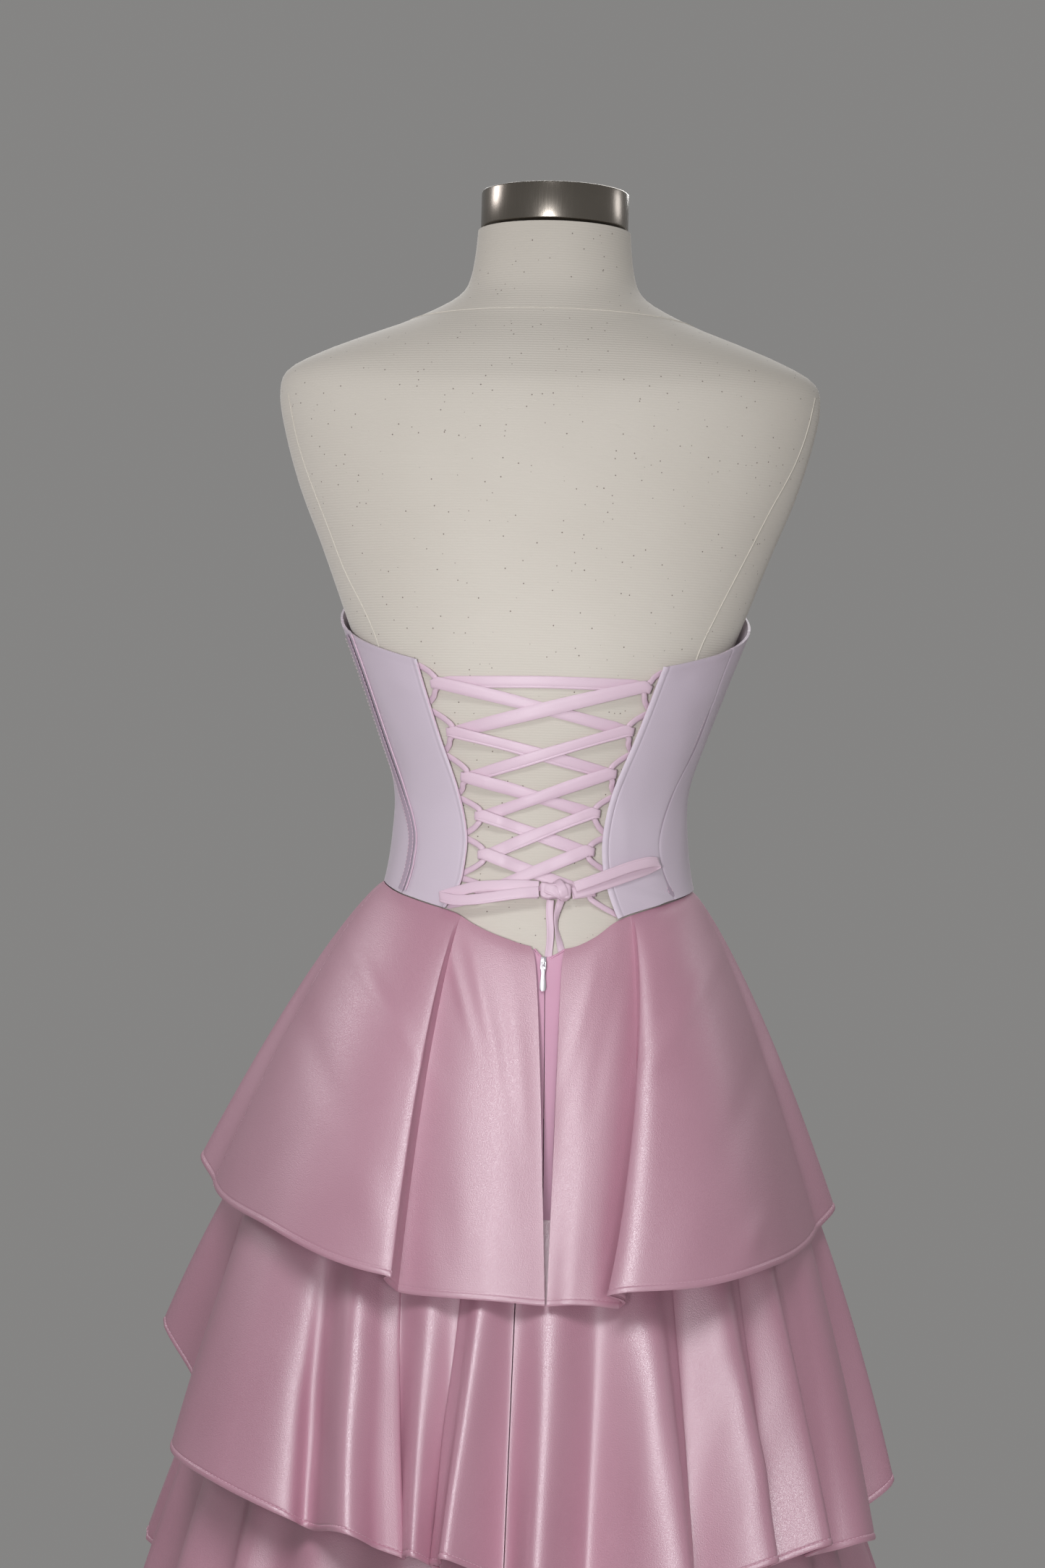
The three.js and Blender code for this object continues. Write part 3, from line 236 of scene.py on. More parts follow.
def skin_normal(z, angle):
    z, angle = np.asarray(z, float), np.asarray(angle, float)
    around = torso_point(z, angle + 1) - torso_point(z, angle - 1)
    upward = torso_point(z + 2, angle) - torso_point(z - 2, angle)
    return unit(np.cross(upward, around))


def skin(z, angle, lift):
    return torso_point(z, angle) + skin_normal(z, angle) * np.asarray(lift, float)[..., None]


def angle_at(x, z):
    return np.degrees(np.arcsin(np.clip(x / read(TORSO, "z", "half", z), -1, 1)))


def on_back(x, z, lift):
    return skin(z, angle_at(x, z), lift)


print("back at the waist:", on_back(0.0, 1020.0, 0.0).round(1))

# %% [markdown]
# ## Sheets and tubes from a grid
# A cloth panel starts as a flat grid with a UV map, as cloth starts on the cutting table. Each of
# its points is then taken to its place on the body. Solidify gives the cloth its thickness. A
# tube is the same grid rolled up, with its long edges merged and its ends closed.


# %% Sheets and tubes
SHARP_EDGE = math.radians(55)


def only(piece):
    bpy.ops.object.select_all(action="DESELECT")
    piece.select_set(True)
    bpy.context.view_layer.objects.active = piece


def added(name):
    """The object that the last call added, under its name."""
    piece = bpy.context.active_object
    piece.name = piece.data.name = name
    return piece


def grid(name, columns, rows, place):
    """place takes the share across and the share down and gives points in millimetres."""
    bpy.ops.object.select_all(action="DESELECT")
    bpy.ops.mesh.primitive_grid_add(x_subdivisions=columns, y_subdivisions=rows, size=1)
    piece = added(name)
    flat = np.empty(len(piece.data.vertices) * 3, np.float32)
    piece.data.vertices.foreach_get("co", flat)
    across, down = flat[0::3].astype(float) + 0.5, 0.5 - flat[1::3].astype(float)
    points = place(np.clip(across, 0, 1), np.clip(down, 0, 1)) * MM
    piece.data.vertices.foreach_set("co", points.astype(np.float32).ravel())
    piece.data.flip_normals()
    piece.data.update()
    return piece


def cloth(name, columns, rows, place, thick):
    """A grid with the cloth's thickness, and the area of its outer face."""
    piece = grid(name, columns, rows, place)
    area = sum(face.area for face in piece.data.polygons)
    only(piece)
    wall = piece.modifiers.new("cloth", "SOLIDIFY")
    wall.thickness = thick * MM
    wall.offset = -1
    wall.use_quality_normals = True
    bpy.ops.object.modifier_apply(modifier=wall.name)
    bpy.ops.object.shade_smooth_by_angle(angle=SHARP_EDGE)
    return piece, area


def normals_out(piece):
    only(piece)
    bpy.ops.object.mode_set(mode="EDIT")
    bpy.ops.mesh.select_all(action="SELECT")
    bpy.ops.mesh.normals_make_consistent(inside=False)
    bpy.ops.object.mode_set(mode="OBJECT")


def tube(name, around, along, place):
    """The grid's columns run round the tube and its rows run along it."""
    piece = grid(name, around, along, place)
    only(piece)
    bpy.ops.object.mode_set(mode="EDIT")
    bpy.ops.mesh.select_all(action="SELECT")
    bpy.ops.mesh.remove_doubles(threshold=0.00001)
    bpy.ops.mesh.select_all(action="SELECT")
    bpy.ops.mesh.fill_holes(sides=0)
    bpy.ops.object.mode_set(mode="OBJECT")
    normals_out(piece)
    bpy.ops.object.shade_smooth_by_angle(angle=SHARP_EDGE)
    return piece


def settle(piece, material, slot, *nodes, body=GOWN):
    """Gives a finished piece its material and its body, and lets it stand for its solids."""
    piece.data.materials.clear()
    piece.data.materials.append(material)
    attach(piece, body)
    if nodes:
        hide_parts(*nodes)


# %% [markdown]
# ## Material groups
# Cloth is never one flat colour. Three small node groups are shared by the materials: one mottles
# a colour between a deep and a light tone, one gives the fine grain of the threads, and one gives
# the ribs of a knit. Each has named inputs, and each material places it with its own values.


# %% Material groups
FLOAT, VECTOR, COLOUR = "NodeSocketFloat", "NodeSocketVector", "NodeSocketColor"
# the colour sockets of a mix node
MIX_A, MIX_B, MIX_RESULT = 6, 7, 2


def group(name, inputs, outputs):
    tree = bpy.data.node_groups.new(name, "ShaderNodeTree")
    for way, sockets in (("INPUT", inputs), ("OUTPUT", outputs)):
        for socket, kind in sockets.items():
            tree.interface.new_socket(socket, in_out=way, socket_type=kind)
    return tree, tree.nodes.new("NodeGroupInput").outputs, tree.nodes.new("NodeGroupOutput").inputs


def dial(made, values):
    for name, value in values.items():
        made.inputs[name].default_value = value


def node(tree, kind, values=None, **settings):
    made = tree.nodes.new(kind)
    for name, value in settings.items():
        setattr(made, name, value)
    dial(made, values or {})
    return made


def wire(tree, *pairs):
    for start, end in pairs:
        tree.links.new(start, end)


shades = {"Vector": VECTOR, "Scale": FLOAT, "Deep": COLOUR, "Light": COLOUR}
mottle, given, result = group("mottle", shades, {"Color": COLOUR})
cloud = node(mottle, "ShaderNodeTexNoise", {"Detail": 3})
spread = node(mottle, "ShaderNodeMapRange", {"From Min": 0.3, "From Max": 0.7})
blend = node(mottle, "ShaderNodeMix", data_type="RGBA")
wire(
    mottle,
    (given["Vector"], cloud.inputs["Vector"]),
    (given["Scale"], cloud.inputs["Scale"]),
    (cloud.outputs["Fac"], spread.inputs["Value"]),
    (spread.outputs["Result"], blend.inputs["Factor"]),
    (given["Deep"], blend.inputs[MIX_A]),
    (given["Light"], blend.inputs[MIX_B]),
    (blend.outputs[MIX_RESULT], result["Color"]),
)

weave = {"Vector": VECTOR, "Scale": FLOAT, "Crease Scale": FLOAT, "Crease": FLOAT}
grain, given, result = group("thread_grain", weave, {"Height": FLOAT, "Spark": FLOAT})
threads = node(grain, "ShaderNodeTexNoise", {"Detail": 1})
creases = node(grain, "ShaderNodeTexNoise", {"Detail": 2})
weigh = node(grain, "ShaderNodeMath", operation="MULTIPLY")
total = node(grain, "ShaderNodeMath", operation="ADD")
wire(
    grain,
    (given["Vector"], threads.inputs["Vector"]),
    (given["Scale"], threads.inputs["Scale"]),
    (given["Vector"], creases.inputs["Vector"]),
    (given["Crease Scale"], creases.inputs["Scale"]),
    (creases.outputs["Fac"], weigh.inputs[0]),
    (given["Crease"], weigh.inputs[1]),
    (threads.outputs["Fac"], total.inputs[0]),
    (weigh.outputs["Value"], total.inputs[1]),
    (total.outputs["Value"], result["Height"]),
    (threads.outputs["Fac"], result["Spark"]),
)

knit, given, result = group("knit_ribs", {"Vector": VECTOR, "Rows": FLOAT}, {"Height": FLOAT, "Speck": FLOAT})
ribs = node(knit, "ShaderNodeTexWave", {"Distortion": 1.5, "Detail Scale": 4}, bands_direction="Z")
seeds = node(knit, "ShaderNodeTexVoronoi", {"Scale": 150})
small = node(knit, "ShaderNodeMapRange", {"From Min": 0.05, "From Max": 0.10})
wire(
    knit,
    (given["Vector"], ribs.inputs["Vector"]),
    (given["Rows"], ribs.inputs["Scale"]),
    (given["Vector"], seeds.inputs["Vector"]),
    (seeds.outputs["Distance"], small.inputs["Value"]),
    (ribs.outputs["Fac"], result["Height"]),
    (small.outputs["Result"], result["Speck"]),
)


# %% [markdown]
# ## Cloths and metals
# Satin has its threads lying all one way, so it shines, but the shine is broad and paler than the
# cloth's own rose. A high index of refraction gives that strong pale shine, and a middling
# roughness spreads it. The bodice and the lace are duller, and the form's cover is a matt knit.


# %% Cloths
SATIN = {"mottle": 7.0, "threads": 1300.0, "creases": 26.0, "grain": (0.35, 0.65), "spread": 0.09}
SATIN_RELIEF = {"strength": 0.32, "height": 0.0006}


def blank_material(name):
    material = bpy.data.materials.new(name)
    material.use_nodes = True
    tree = material.node_tree
    return material, tree, tree.nodes["Principled BSDF"], tree.nodes.new("ShaderNodeTexCoord")


def placed(tree, which, coords, values):
    """One of the groups, with its values, on the object's own coordinates."""
    made = node(tree, "ShaderNodeGroup", values, node_tree=which)
    tree.links.new(coords.outputs["Object"], made.inputs["Vector"])
    return made


def bump_into(tree, shader, height, strength, distance):
    bump = node(tree, "ShaderNodeBump", {"Strength": strength, "Distance": distance})
    wire(tree, (height, bump.inputs["Height"]), (bump.outputs["Normal"], shader.inputs["Normal"]))


def satin(name, deep, light, rough, gloss_index, sheen, crease, spark):
    material, tree, shader, coords = blank_material(name)
    tone = placed(tree, mottle, coords, {"Scale": SATIN["mottle"], "Deep": (*deep, 1), "Light": (*light, 1)})
    weave = {"Scale": SATIN["threads"], "Crease Scale": SATIN["creases"], "Crease": crease}
    thread = placed(tree, grain, coords, weave)
    low, high = SATIN["grain"]
    uneven = SATIN["spread"] * spark
    shine = {"From Min": low, "From Max": high, "To Min": rough - uneven, "To Max": rough + uneven}
    gloss = node(tree, "ShaderNodeMapRange", shine)
    wire(
        tree,
        (tone.outputs["Color"], shader.inputs["Base Color"]),
        (thread.outputs["Spark"], gloss.inputs["Value"]),
        (gloss.outputs["Result"], shader.inputs["Roughness"]),
    )
    dial(shader, {"IOR": gloss_index, "Sheen Weight": sheen, "Sheen Roughness": 0.4})
    strength = SATIN_RELIEF["strength"] * spark
    bump_into(tree, shader, thread.outputs["Height"], strength, SATIN_RELIEF["height"])
    return material


SKIRT_SATIN = satin("skirt_satin", (0.445, 0.19, 0.27), (0.50, 0.235, 0.32), 0.47, 2.6, 0.0, 0.6, 1.0)
UNDERSKIRT_SATIN = satin("underskirt_satin", (0.62, 0.33, 0.46), (0.68, 0.38, 0.51), 0.65, 1.5, 0.1, 0.3, 0.3)
BODICE_SATIN = satin("bodice_satin", (0.56, 0.475, 0.555), (0.61, 0.525, 0.605), 0.55, 1.6, 0.15, 0.5, 0.4)
CHANNEL_SATIN = satin("channel_satin", (0.38, 0.29, 0.37), (0.43, 0.34, 0.42), 0.55, 1.6, 0.1, 0.4, 0.4)
LACE_SATIN = satin("lace_satin", (0.66, 0.48, 0.58), (0.72, 0.55, 0.64), 0.5, 1.6, 0.15, 0.3, 0.4)
PIPING_SATIN = satin("piping_satin", (0.66, 0.46, 0.57), (0.72, 0.52, 0.63), 0.55, 1.5, 0.1, 0.3, 0.3)
THREAD = satin("hem_thread", (0.74, 0.52, 0.60), (0.80, 0.58, 0.66), 0.6, 1.5, 0.1, 0.2, 0.3)
COVER_THREAD = satin("cover_thread", (0.62, 0.58, 0.51), (0.68, 0.64, 0.57), 0.7, 1.4, 0.1, 0.2, 0.3)

JERSEY, tree, shader, coords = blank_material("form_jersey")
shades = {"Scale": 5.0, "Deep": (0.60, 0.555, 0.49, 1), "Light": (0.655, 0.61, 0.545, 1)}
tone = placed(tree, mottle, coords, shades)
knitted = placed(tree, knit, coords, {"Rows": 160.0})
flecks = node(tree, "ShaderNodeMix", {MIX_A: (0.16, 0.12, 0.10, 1)}, data_type="RGBA")
wire(
    tree,
    (knitted.outputs["Speck"], flecks.inputs["Factor"]),
    (tone.outputs["Color"], flecks.inputs[MIX_B]),
    (flecks.outputs[MIX_RESULT], shader.inputs["Base Color"]),
)
dial(shader, {"Roughness": 0.9, "Sheen Weight": 0.25})
bump_into(tree, shader, knitted.outputs["Height"], 0.25, 0.0004)


# %% Metals
def metal(name, colour, rough, streak, metallic=1):
    material, tree, shader, coords = blank_material(name)
    brushed = node(tree, "ShaderNodeTexNoise", {"Detail": 4})
    stretch = node(tree, "ShaderNodeMapping", {"Scale": streak})
    spread = node(tree, "ShaderNodeMapRange", {"To Min": rough - 0.08, "To Max": rough + 0.1})
    deep = (*[c * 0.86 for c in colour], 1)
    tone = placed(tree, mottle, coords, {"Scale": 20.0, "Deep": deep, "Light": (*colour, 1)})
    wire(
        tree,
        (coords.outputs["Object"], stretch.inputs["Vector"]),
        (stretch.outputs["Vector"], brushed.inputs["Vector"]),
        (brushed.outputs["Fac"], spread.inputs["Value"]),
        (spread.outputs["Result"], shader.inputs["Roughness"]),
        (tone.outputs["Color"], shader.inputs["Base Color"]),
    )
    dial(shader, {"Metallic": metallic})
    bump_into(tree, shader, brushed.outputs["Fac"], 0.06, 0.0004)
    return material


NICKEL = metal("brushed_nickel", (0.30, 0.27, 0.235), 0.24, (600, 600, 12))
SILVER = metal("zip_silver", (0.62, 0.60, 0.62), 0.34, (900, 900, 300))
BLACK_PAINT = metal("stand_paint", (0.03, 0.03, 0.032), 0.45, (200, 200, 200), metallic=0)
print("materials:", len(bpy.data.materials))

# %% [markdown]
# ## The form's cover, neck and stand
# The cover is a knitted tube pulled over the form, so it is modelled as one smooth tube. Its side panels and
# its collar are joined by fine seams, laid on as narrow raised threads. The neck cap, the post and the base
# are turned metal, so each starts as a cylinder; the cap and the base are inset in steps, and all three are
# bevelled.

# %% The cover
COVER_COLUMNS, COVER_ROWS = 130, 140
TOP_Z, FOOT_Z = TORSO["z"][-1], TORSO["z"][0]


def cover_place(across, down):
    return torso_point(mix(TOP_Z, FOOT_Z, down), 180 + 360 * across)


cover = tube("cover", COVER_COLUMNS, COVER_ROWS, cover_place)
settle(cover, JERSEY, "form_jersey", "form_torso")
print("cover faces:", len(cover.data.polygons))

# %% A ribbon or thread swept along stations
ROUND = 10
FLAT_TUBE = rows_of("""
u v
1 -0.2
0.99 0.3
0.93 0.72
0.78 0.9
0.66 0.72
0.6 0.55
0.54 0.74
0.35 1
0 1.05
-0.5 1
-0.88 0.85
-0.98 0.45
-1 -0.2
-0.9 -0.8
-0.3 -1
0.3 -1
0.9 -0.8
""")


def resampled(points, pitch):
    """Points a pitch apart on a smooth curve through the given ones, and their places in the list."""
    count = len(points)
    padded = np.vstack([2 * points[0] - points[1], points, 2 * points[-1] - points[-2]])
    at = [0.0]
    for k in range(count - 1):
        parts = max(1, int(math.ceil(np.linalg.norm(points[k + 1] - points[k]) / pitch)))
        at += [k + (j + 1) / parts for j in range(parts)]
    at = np.array(at)
    k = np.clip(at.astype(int), 0, count - 2)
    t = (at - k)[:, None]
    a, b, c, d = padded[k], padded[k + 1], padded[k + 2], padded[k + 3]
    curve = 0.5 * (2 * b + (c - a) * t + (2 * a - 5 * b + 4 * c - d) * t**2 + (3 * b - a - 3 * c + d) * t**3)
    return curve, at


def read_rows(at, places, rows):
    return np.stack([np.interp(at, places, rows[:, c]) for c in range(3)], -1)


def swept(name, points, faces, wide, thick, pitch=2.0, square=0.55, seamed=False):
    """A flat, soft-edged ribbon: points in millimetres, the way its face looks, width and thickness.
    A seamed one is a flat tube with its sewn crease along one side."""
    points, faces = np.array(points, float), np.array(faces, float)
    curve, at = resampled(points, pitch)
    order = np.arange(len(points))
    face = unit(read_rows(at, order, faces))
    half_w = np.interp(at, order, np.broadcast_to(wide, len(points))) / 2
    half_t = np.interp(at, order, np.broadcast_to(thick, len(points))) / 2
    along = unit(np.gradient(curve, axis=0))
    across = unit(np.cross(along, face))
    face = np.cross(across, along)

    def place(around, down):
        k = np.clip(np.rint(down * (len(curve) - 1)).astype(int), 0, len(curve) - 1)
        turn = 2 * np.pi * around
        c, s = np.cos(turn), np.sin(turn)
        u, v = np.sign(c) * np.abs(c) ** square, np.sign(s) * np.abs(s) ** 0.8
        if seamed:
            corner = np.rint(around * len(FLAT_TUBE["u"])).astype(int) % len(FLAT_TUBE["u"])
            u, v = np.array(FLAT_TUBE["u"])[corner], np.array(FLAT_TUBE["v"])[corner]
        return curve[k] + across[k] * (u * half_w[k])[:, None] + face[k] * (v * half_t[k])[:, None]

    return tube(name, len(FLAT_TUBE["u"]) if seamed else ROUND, len(curve) - 1, place)


# %% The cover's seams
COVER_SEAMS = {
    "left": rows_of("""
z x
1340 201
1305 193
1276 183
1240 168
1206 154
1170 135
1147 125.5
1100 112
"""),
    "right": rows_of("""
z x
1348 -203
1318 -196
1291 -186
1258 -169
1225 -153
1180 -131
1148 -117
1100 -104
"""),
}
COLLAR = {"z": 1407.5, "drop": 10}


def joined_as(name, parts):
    only(parts[0])
    for part in parts[1:]:
        part.select_set(True)
    if len(parts) > 1:
        bpy.ops.object.join()
    parts[0].name = parts[0].data.name = name
    return parts[0]


cover_threads = []
for side_name, table in COVER_SEAMS.items():
    z = np.linspace(table["z"][0], table["z"][-1], 60)
    order = {"z": table["z"][::-1], "x": table["x"][::-1]}
    x = read(order, "z", "x", z)
    points, faces = on_back(x, z, 0.1), skin_normal(z, angle_at(x, z))
    cover_threads.append(swept("cover_seam_" + side_name, points, faces, 1.1, 0.9, 3.0))
around = np.linspace(0, 360, 90)
collar_z = COLLAR["z"] - COLLAR["drop"] * (1 - np.cos(np.radians(around))) / 2
collar_line, collar_faces = skin(collar_z, around, 0.1), skin_normal(collar_z, around)
cover_threads.append(swept("collar", collar_line, collar_faces, 1.2, 0.9, 3.0))
cover_seams = joined_as("cover_seams", cover_threads)
settle(cover_seams, COVER_THREAD, "form_jersey")


# %% Turned metal
def faces_looking(piece, way, least=0.9):
    """Selects in edit mode only the faces whose normal points the given way."""
    bpy.ops.object.mode_set(mode="OBJECT")
    for face in piece.data.polygons:
        face.select = face.normal.dot(Vector(way)) > least
    for edge in piece.data.edges:
        edge.select = False
    bpy.ops.object.mode_set(mode="EDIT")
    bpy.ops.mesh.select_mode(type="FACE")


def cylinder(name, radius, low, high, y=0.0, vertices=96):
    bpy.ops.object.select_all(action="DESELECT")
    tall, middle = (high - low) * MM, (0, y * MM, (low + high) / 2 * MM)
    bpy.ops.mesh.primitive_cylinder_add(vertices=vertices, radius=radius * MM, depth=tall, location=middle)
    piece = added(name)
    bpy.ops.object.transform_apply(location=True, rotation=True, scale=True)
    return piece


def bevelled(piece, width, segments=3):
    only(piece)
    edge = piece.modifiers.new("edges", "BEVEL")
    edge.width = width * MM
    edge.segments = segments
    edge.limit_method = "ANGLE"
    bpy.ops.object.modifier_apply(modifier=edge.name)
    bpy.ops.object.shade_smooth_by_angle(angle=math.radians(40))


def stepped(piece, steps):
    """Each step insets the upper face and then lifts it, in millimetres."""
    faces_looking(piece, (0, 0, 1))
    for inset, rise in steps:
        bpy.ops.mesh.inset(thickness=inset * MM)
        bpy.ops.transform.translate(value=(0, 0, rise * MM))
    bpy.ops.object.mode_set(mode="OBJECT")


cap = cylinder("neck_cap_turned", 57.5, 1476.8, 1505, -21)
stepped(cap, ((4, 1.4), (34, 0.6)))
bevelled(cap, 1.1)
settle(cap, NICKEL, "nickel", "neck_cap")

post = cylinder("post_turned", 14, 22.4, 797.6, vertices=48)
bevelled(post, 0.8, 2)
settle(post, NICKEL, "nickel", "stand_post")

base = cylinder("base_turned", 180, 0, 8)
stepped(base, ((8, 4), (132, 8), (18, 2)))
bevelled(base, 1.5)
settle(base, BLACK_PAINT, "black_paint", "stand_base")
print("metal:", [round(v, 3) for v in cap.dimensions], [round(v, 3) for v in base.dimensions])

# %% [markdown]
# ## The bodice
# The bodice is cut in seven panels with straight grain. Each panel is a grid between two seams, its top edge
# and the waist. The edges are turned in and stitched, which leaves a low ridge along them, and a few soft
# creases are placed where the photograph shows them.

# %% The bodice's seams
SEAM_GAP = 0.3
BODICE = {"lift": 5.3, "thick": 2.0, "middle": 1050.0, "inset": 0.09}
TOP_EDGE = rows_of("""
angle z
30 1135
40 1138
68 1154
90 1170
120 1197
147 1224
165 1212
180 1188
""")
WAIST = rows_of("""
angle z
-180 965
-90 966
-56 958
-35 949
-27 943
-19 932
-10 924
2 925
10 930
21 939
29 947
36 950.5
56 958
90 967.5
180 965
""")
BACK_SEAMS = rows_of("""
z edge_left seam_left edge_right seam_right
940 73 107 -61 -106
952 66 103 -55.5 -102
967 57 97.5 -50.3 -95
984 53.4 93.5 -46.6 -88.5
1007 52.2 92.3 -46 -86
1041 59.4 101.5 -52 -94.5
1082 74.2 116.5 -67.6 -112.5
1132 91 135 -85.4 -130
1160 99 146 -95 -140
""")
SIDE_SEAM = 91
PRINCESS_SEAM = rows_of("""
z angle
940 158
1020 157
1110 152
1203 146
1230 146
""")
SIGNS = {"left": 1, "right": -1}


def seam_angle(column):
    return lambda z: angle_at(read(BACK_SEAMS, "z", column, z), z)


def side_seam(sign):
    return lambda z: sign * SIDE_SEAM + 0 * np.asarray(z, float)


def princess_seam(sign):
    return lambda z: sign * read(PRINCESS_SEAM, "z", "angle", z)


def top_edge(angle):
    return read(TOP_EDGE, "angle", "z", np.abs(turned(angle)))


def waist(angle):
    return read(WAIST, "angle", "z", turned(angle))


def on_panel(start, end, across, down):
    angle = mix(start(BODICE["middle"]), end(BODICE["middle"]), across)
    for _ in range(6):
        z = mix(top_edge(angle), waist(angle) + SEAM_GAP, down)
        angle = mix(start(z), end(z), across)
    return z, angle


# %% Ridges along the edges, and creases
def hump(x, middle, width):
    return np.exp(-(((x - middle) / width) ** 2))


BODICE_CREASES = rows_of("""
x z wide tall depth slant
-118 1118 12 9 0.9 0.5
-104 1132 9 6 -0.7 0.3
-88 958 22 4 1.2 -0.25
-80 968 18 3 -0.8 -0.2
-120 1000 6 26 0.6 0.1
122 990 5 30 0.6 -0.1
100 1118 16 8 0.5 -0.4
76 965 10 8 0.5 0.3
-128 1150 10 7 0.8 0.6
150 1130 9 18 0.7 -0.1
-150 1110 8 22 -0.7 0.2
112 960 14 3 -0.6 0.2
-60 1020 5 30 0.4 0.1
""")


def creased(x, z, table):
    total = 0 * x
    for k in range(len(table["x"])):
        row = {name: values[k] for name, values in table.items()}
        dx, dz = x - row["x"], z - row["z"]
        across = hump(dx - row["slant"] * dz, 0, row["wide"])
        total = total + row["depth"] * across * hump(dz + row["slant"] * dx, 0, row["tall"])
    return total


def soft_waves(a, b):
    """A slow unevenness, never the same twice, from a few waves that don't share a beat."""
    bent = np.sin(a * 0.9 + 1.7 * np.sin(b * 0.31)) * 0.5
    slanted = np.sin(a * 0.37 - b * 0.53 + 2) * 0.3
    return bent + slanted + np.sin(b * 0.83 + a * 0.21) * 0.2


def panel(name, start, end, columns, rows, piped=None):
    direction = math.copysign(BODICE["inset"], float(end(BODICE["middle"]) - start(BODICE["middle"])))

    def place(across, down):
        eased = 0.5 - 0.5 * np.cos(np.pi * across)
        across = mix(across, eased, 0.45)
        z, angle = on_panel(lambda h: start(h) + direction, lambda h: end(h) - direction, across, down)
        reach = np.linalg.norm(torso_point(z, start(z)) - torso_point(z, end(z)), axis=-1)
        tall = top_edge(angle) - waist(angle)
        from_start, from_end, from_top = across * reach, (1 - across) * reach, down * tall
        lift = BODICE["lift"] + 0.35 * hump(from_top, 2.0, 1.6) - 0.25 * hump(from_top, 4.4, 0.8)
        lift = lift - 0.5 * hump(from_start, 0, 1.0) - 0.5 * hump(from_end, 0, 1.0)
        if piped == "start":
            lift = lift + 0.75 * hump(from_start, 1.7, 1.1) - 0.3 * hump(from_start, 3.6, 0.7)
        p = skin(z, angle, 0 * z)
        back = np.cos(np.radians(angle)) > 0
        lift = lift + np.where(back, creased(p[:, 0], z, BODICE_CREASES), 0)
        lift = lift + 0.28 * soft_waves(angle * 0.35, z * 0.12) * smooth_step(from_top, 0, 20)
        return skin(z, angle, lift)

    return cloth(name, columns, rows, place, BODICE["thick"])


def declared(piece, area):
    """The cut's flat size: as wide and as long as the piece needs, with the area of its cloth."""
    low, high = np.array(piece.bound_box).min(0), np.array(piece.bound_box).max(0)
    long_side = float((high - low)[2] * SPARE["long"])
    flat = (area / long_side * SPARE["wide"], long_side)
    CUTS[piece.name] = (round(flat[0], 3), round(flat[1], 3), round(area, 4))


SPARE = {"long": 1.06, "wide": 1.25}
CUTS = {}
for side_name, sign in SIGNS.items():
    edge, seam = seam_angle("edge_" + side_name), seam_angle("seam_" + side_name)
    made = [
        ("bodice_back_" + side_name, edge, seam, 48, 76, "start"),
        ("bodice_side_back_" + side_name, seam, side_seam(sign), 48, 76, None),
        ("bodice_side_front_" + side_name, side_seam(sign), princess_seam(sign), 54, 76, None),
    ]
    for name, start, end, columns, rows, piped in made:
        piece, area = panel(name + "_cloth", start, end, columns, rows, piped)
        settle(piece, BODICE_SATIN, "bodice_satin", name)
        declared(piece, area)
piece, area = panel("bodice_front_cloth", princess_seam(1), lambda z: 360 - princess_seam(1)(z), 72, 76)
settle(piece, BODICE_SATIN, "bodice_satin", "bodice_front")
declared(piece, area)
print("bodice cuts:", CUTS)

# %% [markdown]
# ## Boning channels and stitches
# A narrow channel over each back seam holds a bone. It is a flat ribbon with a thin piping along
# its inner side and a row of stitches. One stitch is modelled once and then copied along a line.


# %% Stitches
def stitch_shape():
    """One stitch along X, a little barrel with pointed ends, a millimetre across for each unit."""
    bpy.ops.object.select_all(action="DESELECT")
    bpy.ops.mesh.primitive_cylinder_add(vertices=6, radius=0.5, depth=1.0)
    made = bpy.context.active_object
    for way in ((0, 0, 1), (0, 0, -1)):
        faces_looking(made, way)
        bpy.ops.mesh.extrude_region_move(TRANSFORM_OT_translate={"value": Vector(way) * 0.3})
        bpy.ops.transform.resize(value=(0.45, 0.45, 1), center_override=(0, 0, 0))
    bpy.ops.object.mode_set(mode="OBJECT")
    made.data.transform(Matrix.Rotation(math.radians(90), 4, "Y"))
    corners = np.array([v.co[:] for v in made.data.vertices])
    polygons = [list(face.vertices) for face in made.data.polygons]
    bpy.data.objects.remove(made, do_unlink=True)
    return corners, polygons


STITCH, STITCH_FACES = stitch_shape()
STITCH_LONG = 1.6


def meshed(name, corners, polygons):
    mesh = bpy.data.meshes.new(name)
    mesh.from_pydata(corners, [], polygons)
    piece = bpy.data.objects.new(name, mesh)
    bpy.context.scene.collection.objects.link(piece)
    only(piece)
    return piece


def stitched(name, lines, pitch, long, wide, high):
    """Each line is its points and the way the cloth looks there, in millimetres."""
    blocks, polygons, start = [], [], 0
    for points, faces in lines:
        steps = np.linalg.norm(np.diff(points, axis=0), axis=1)
        length = np.concatenate([[0], np.cumsum(steps)])
        at = np.arange(pitch, length[-1] - pitch, pitch)
        spot, face = read_rows(at, length, points), unit(read_rows(at, length, faces))
        along = unit(read_rows(at + 0.5, length, points) - spot)
        across = unit(np.cross(face, along))
        for k in range(len(at)):
            shaped = along[k] * STITCH[:, :1] * (long / STITCH_LONG) + across[k] * STITCH[:, 1:2] * wide
            blocks.append(spot[k] + (shaped + face[k] * STITCH[:, 2:] * high))
            polygons += [[start + v for v in face_row] for face_row in STITCH_FACES]
            start += len(STITCH)
    piece = meshed(name, (np.vstack(blocks) * MM).tolist(), polygons)
    bpy.ops.object.shade_smooth()
    return piece


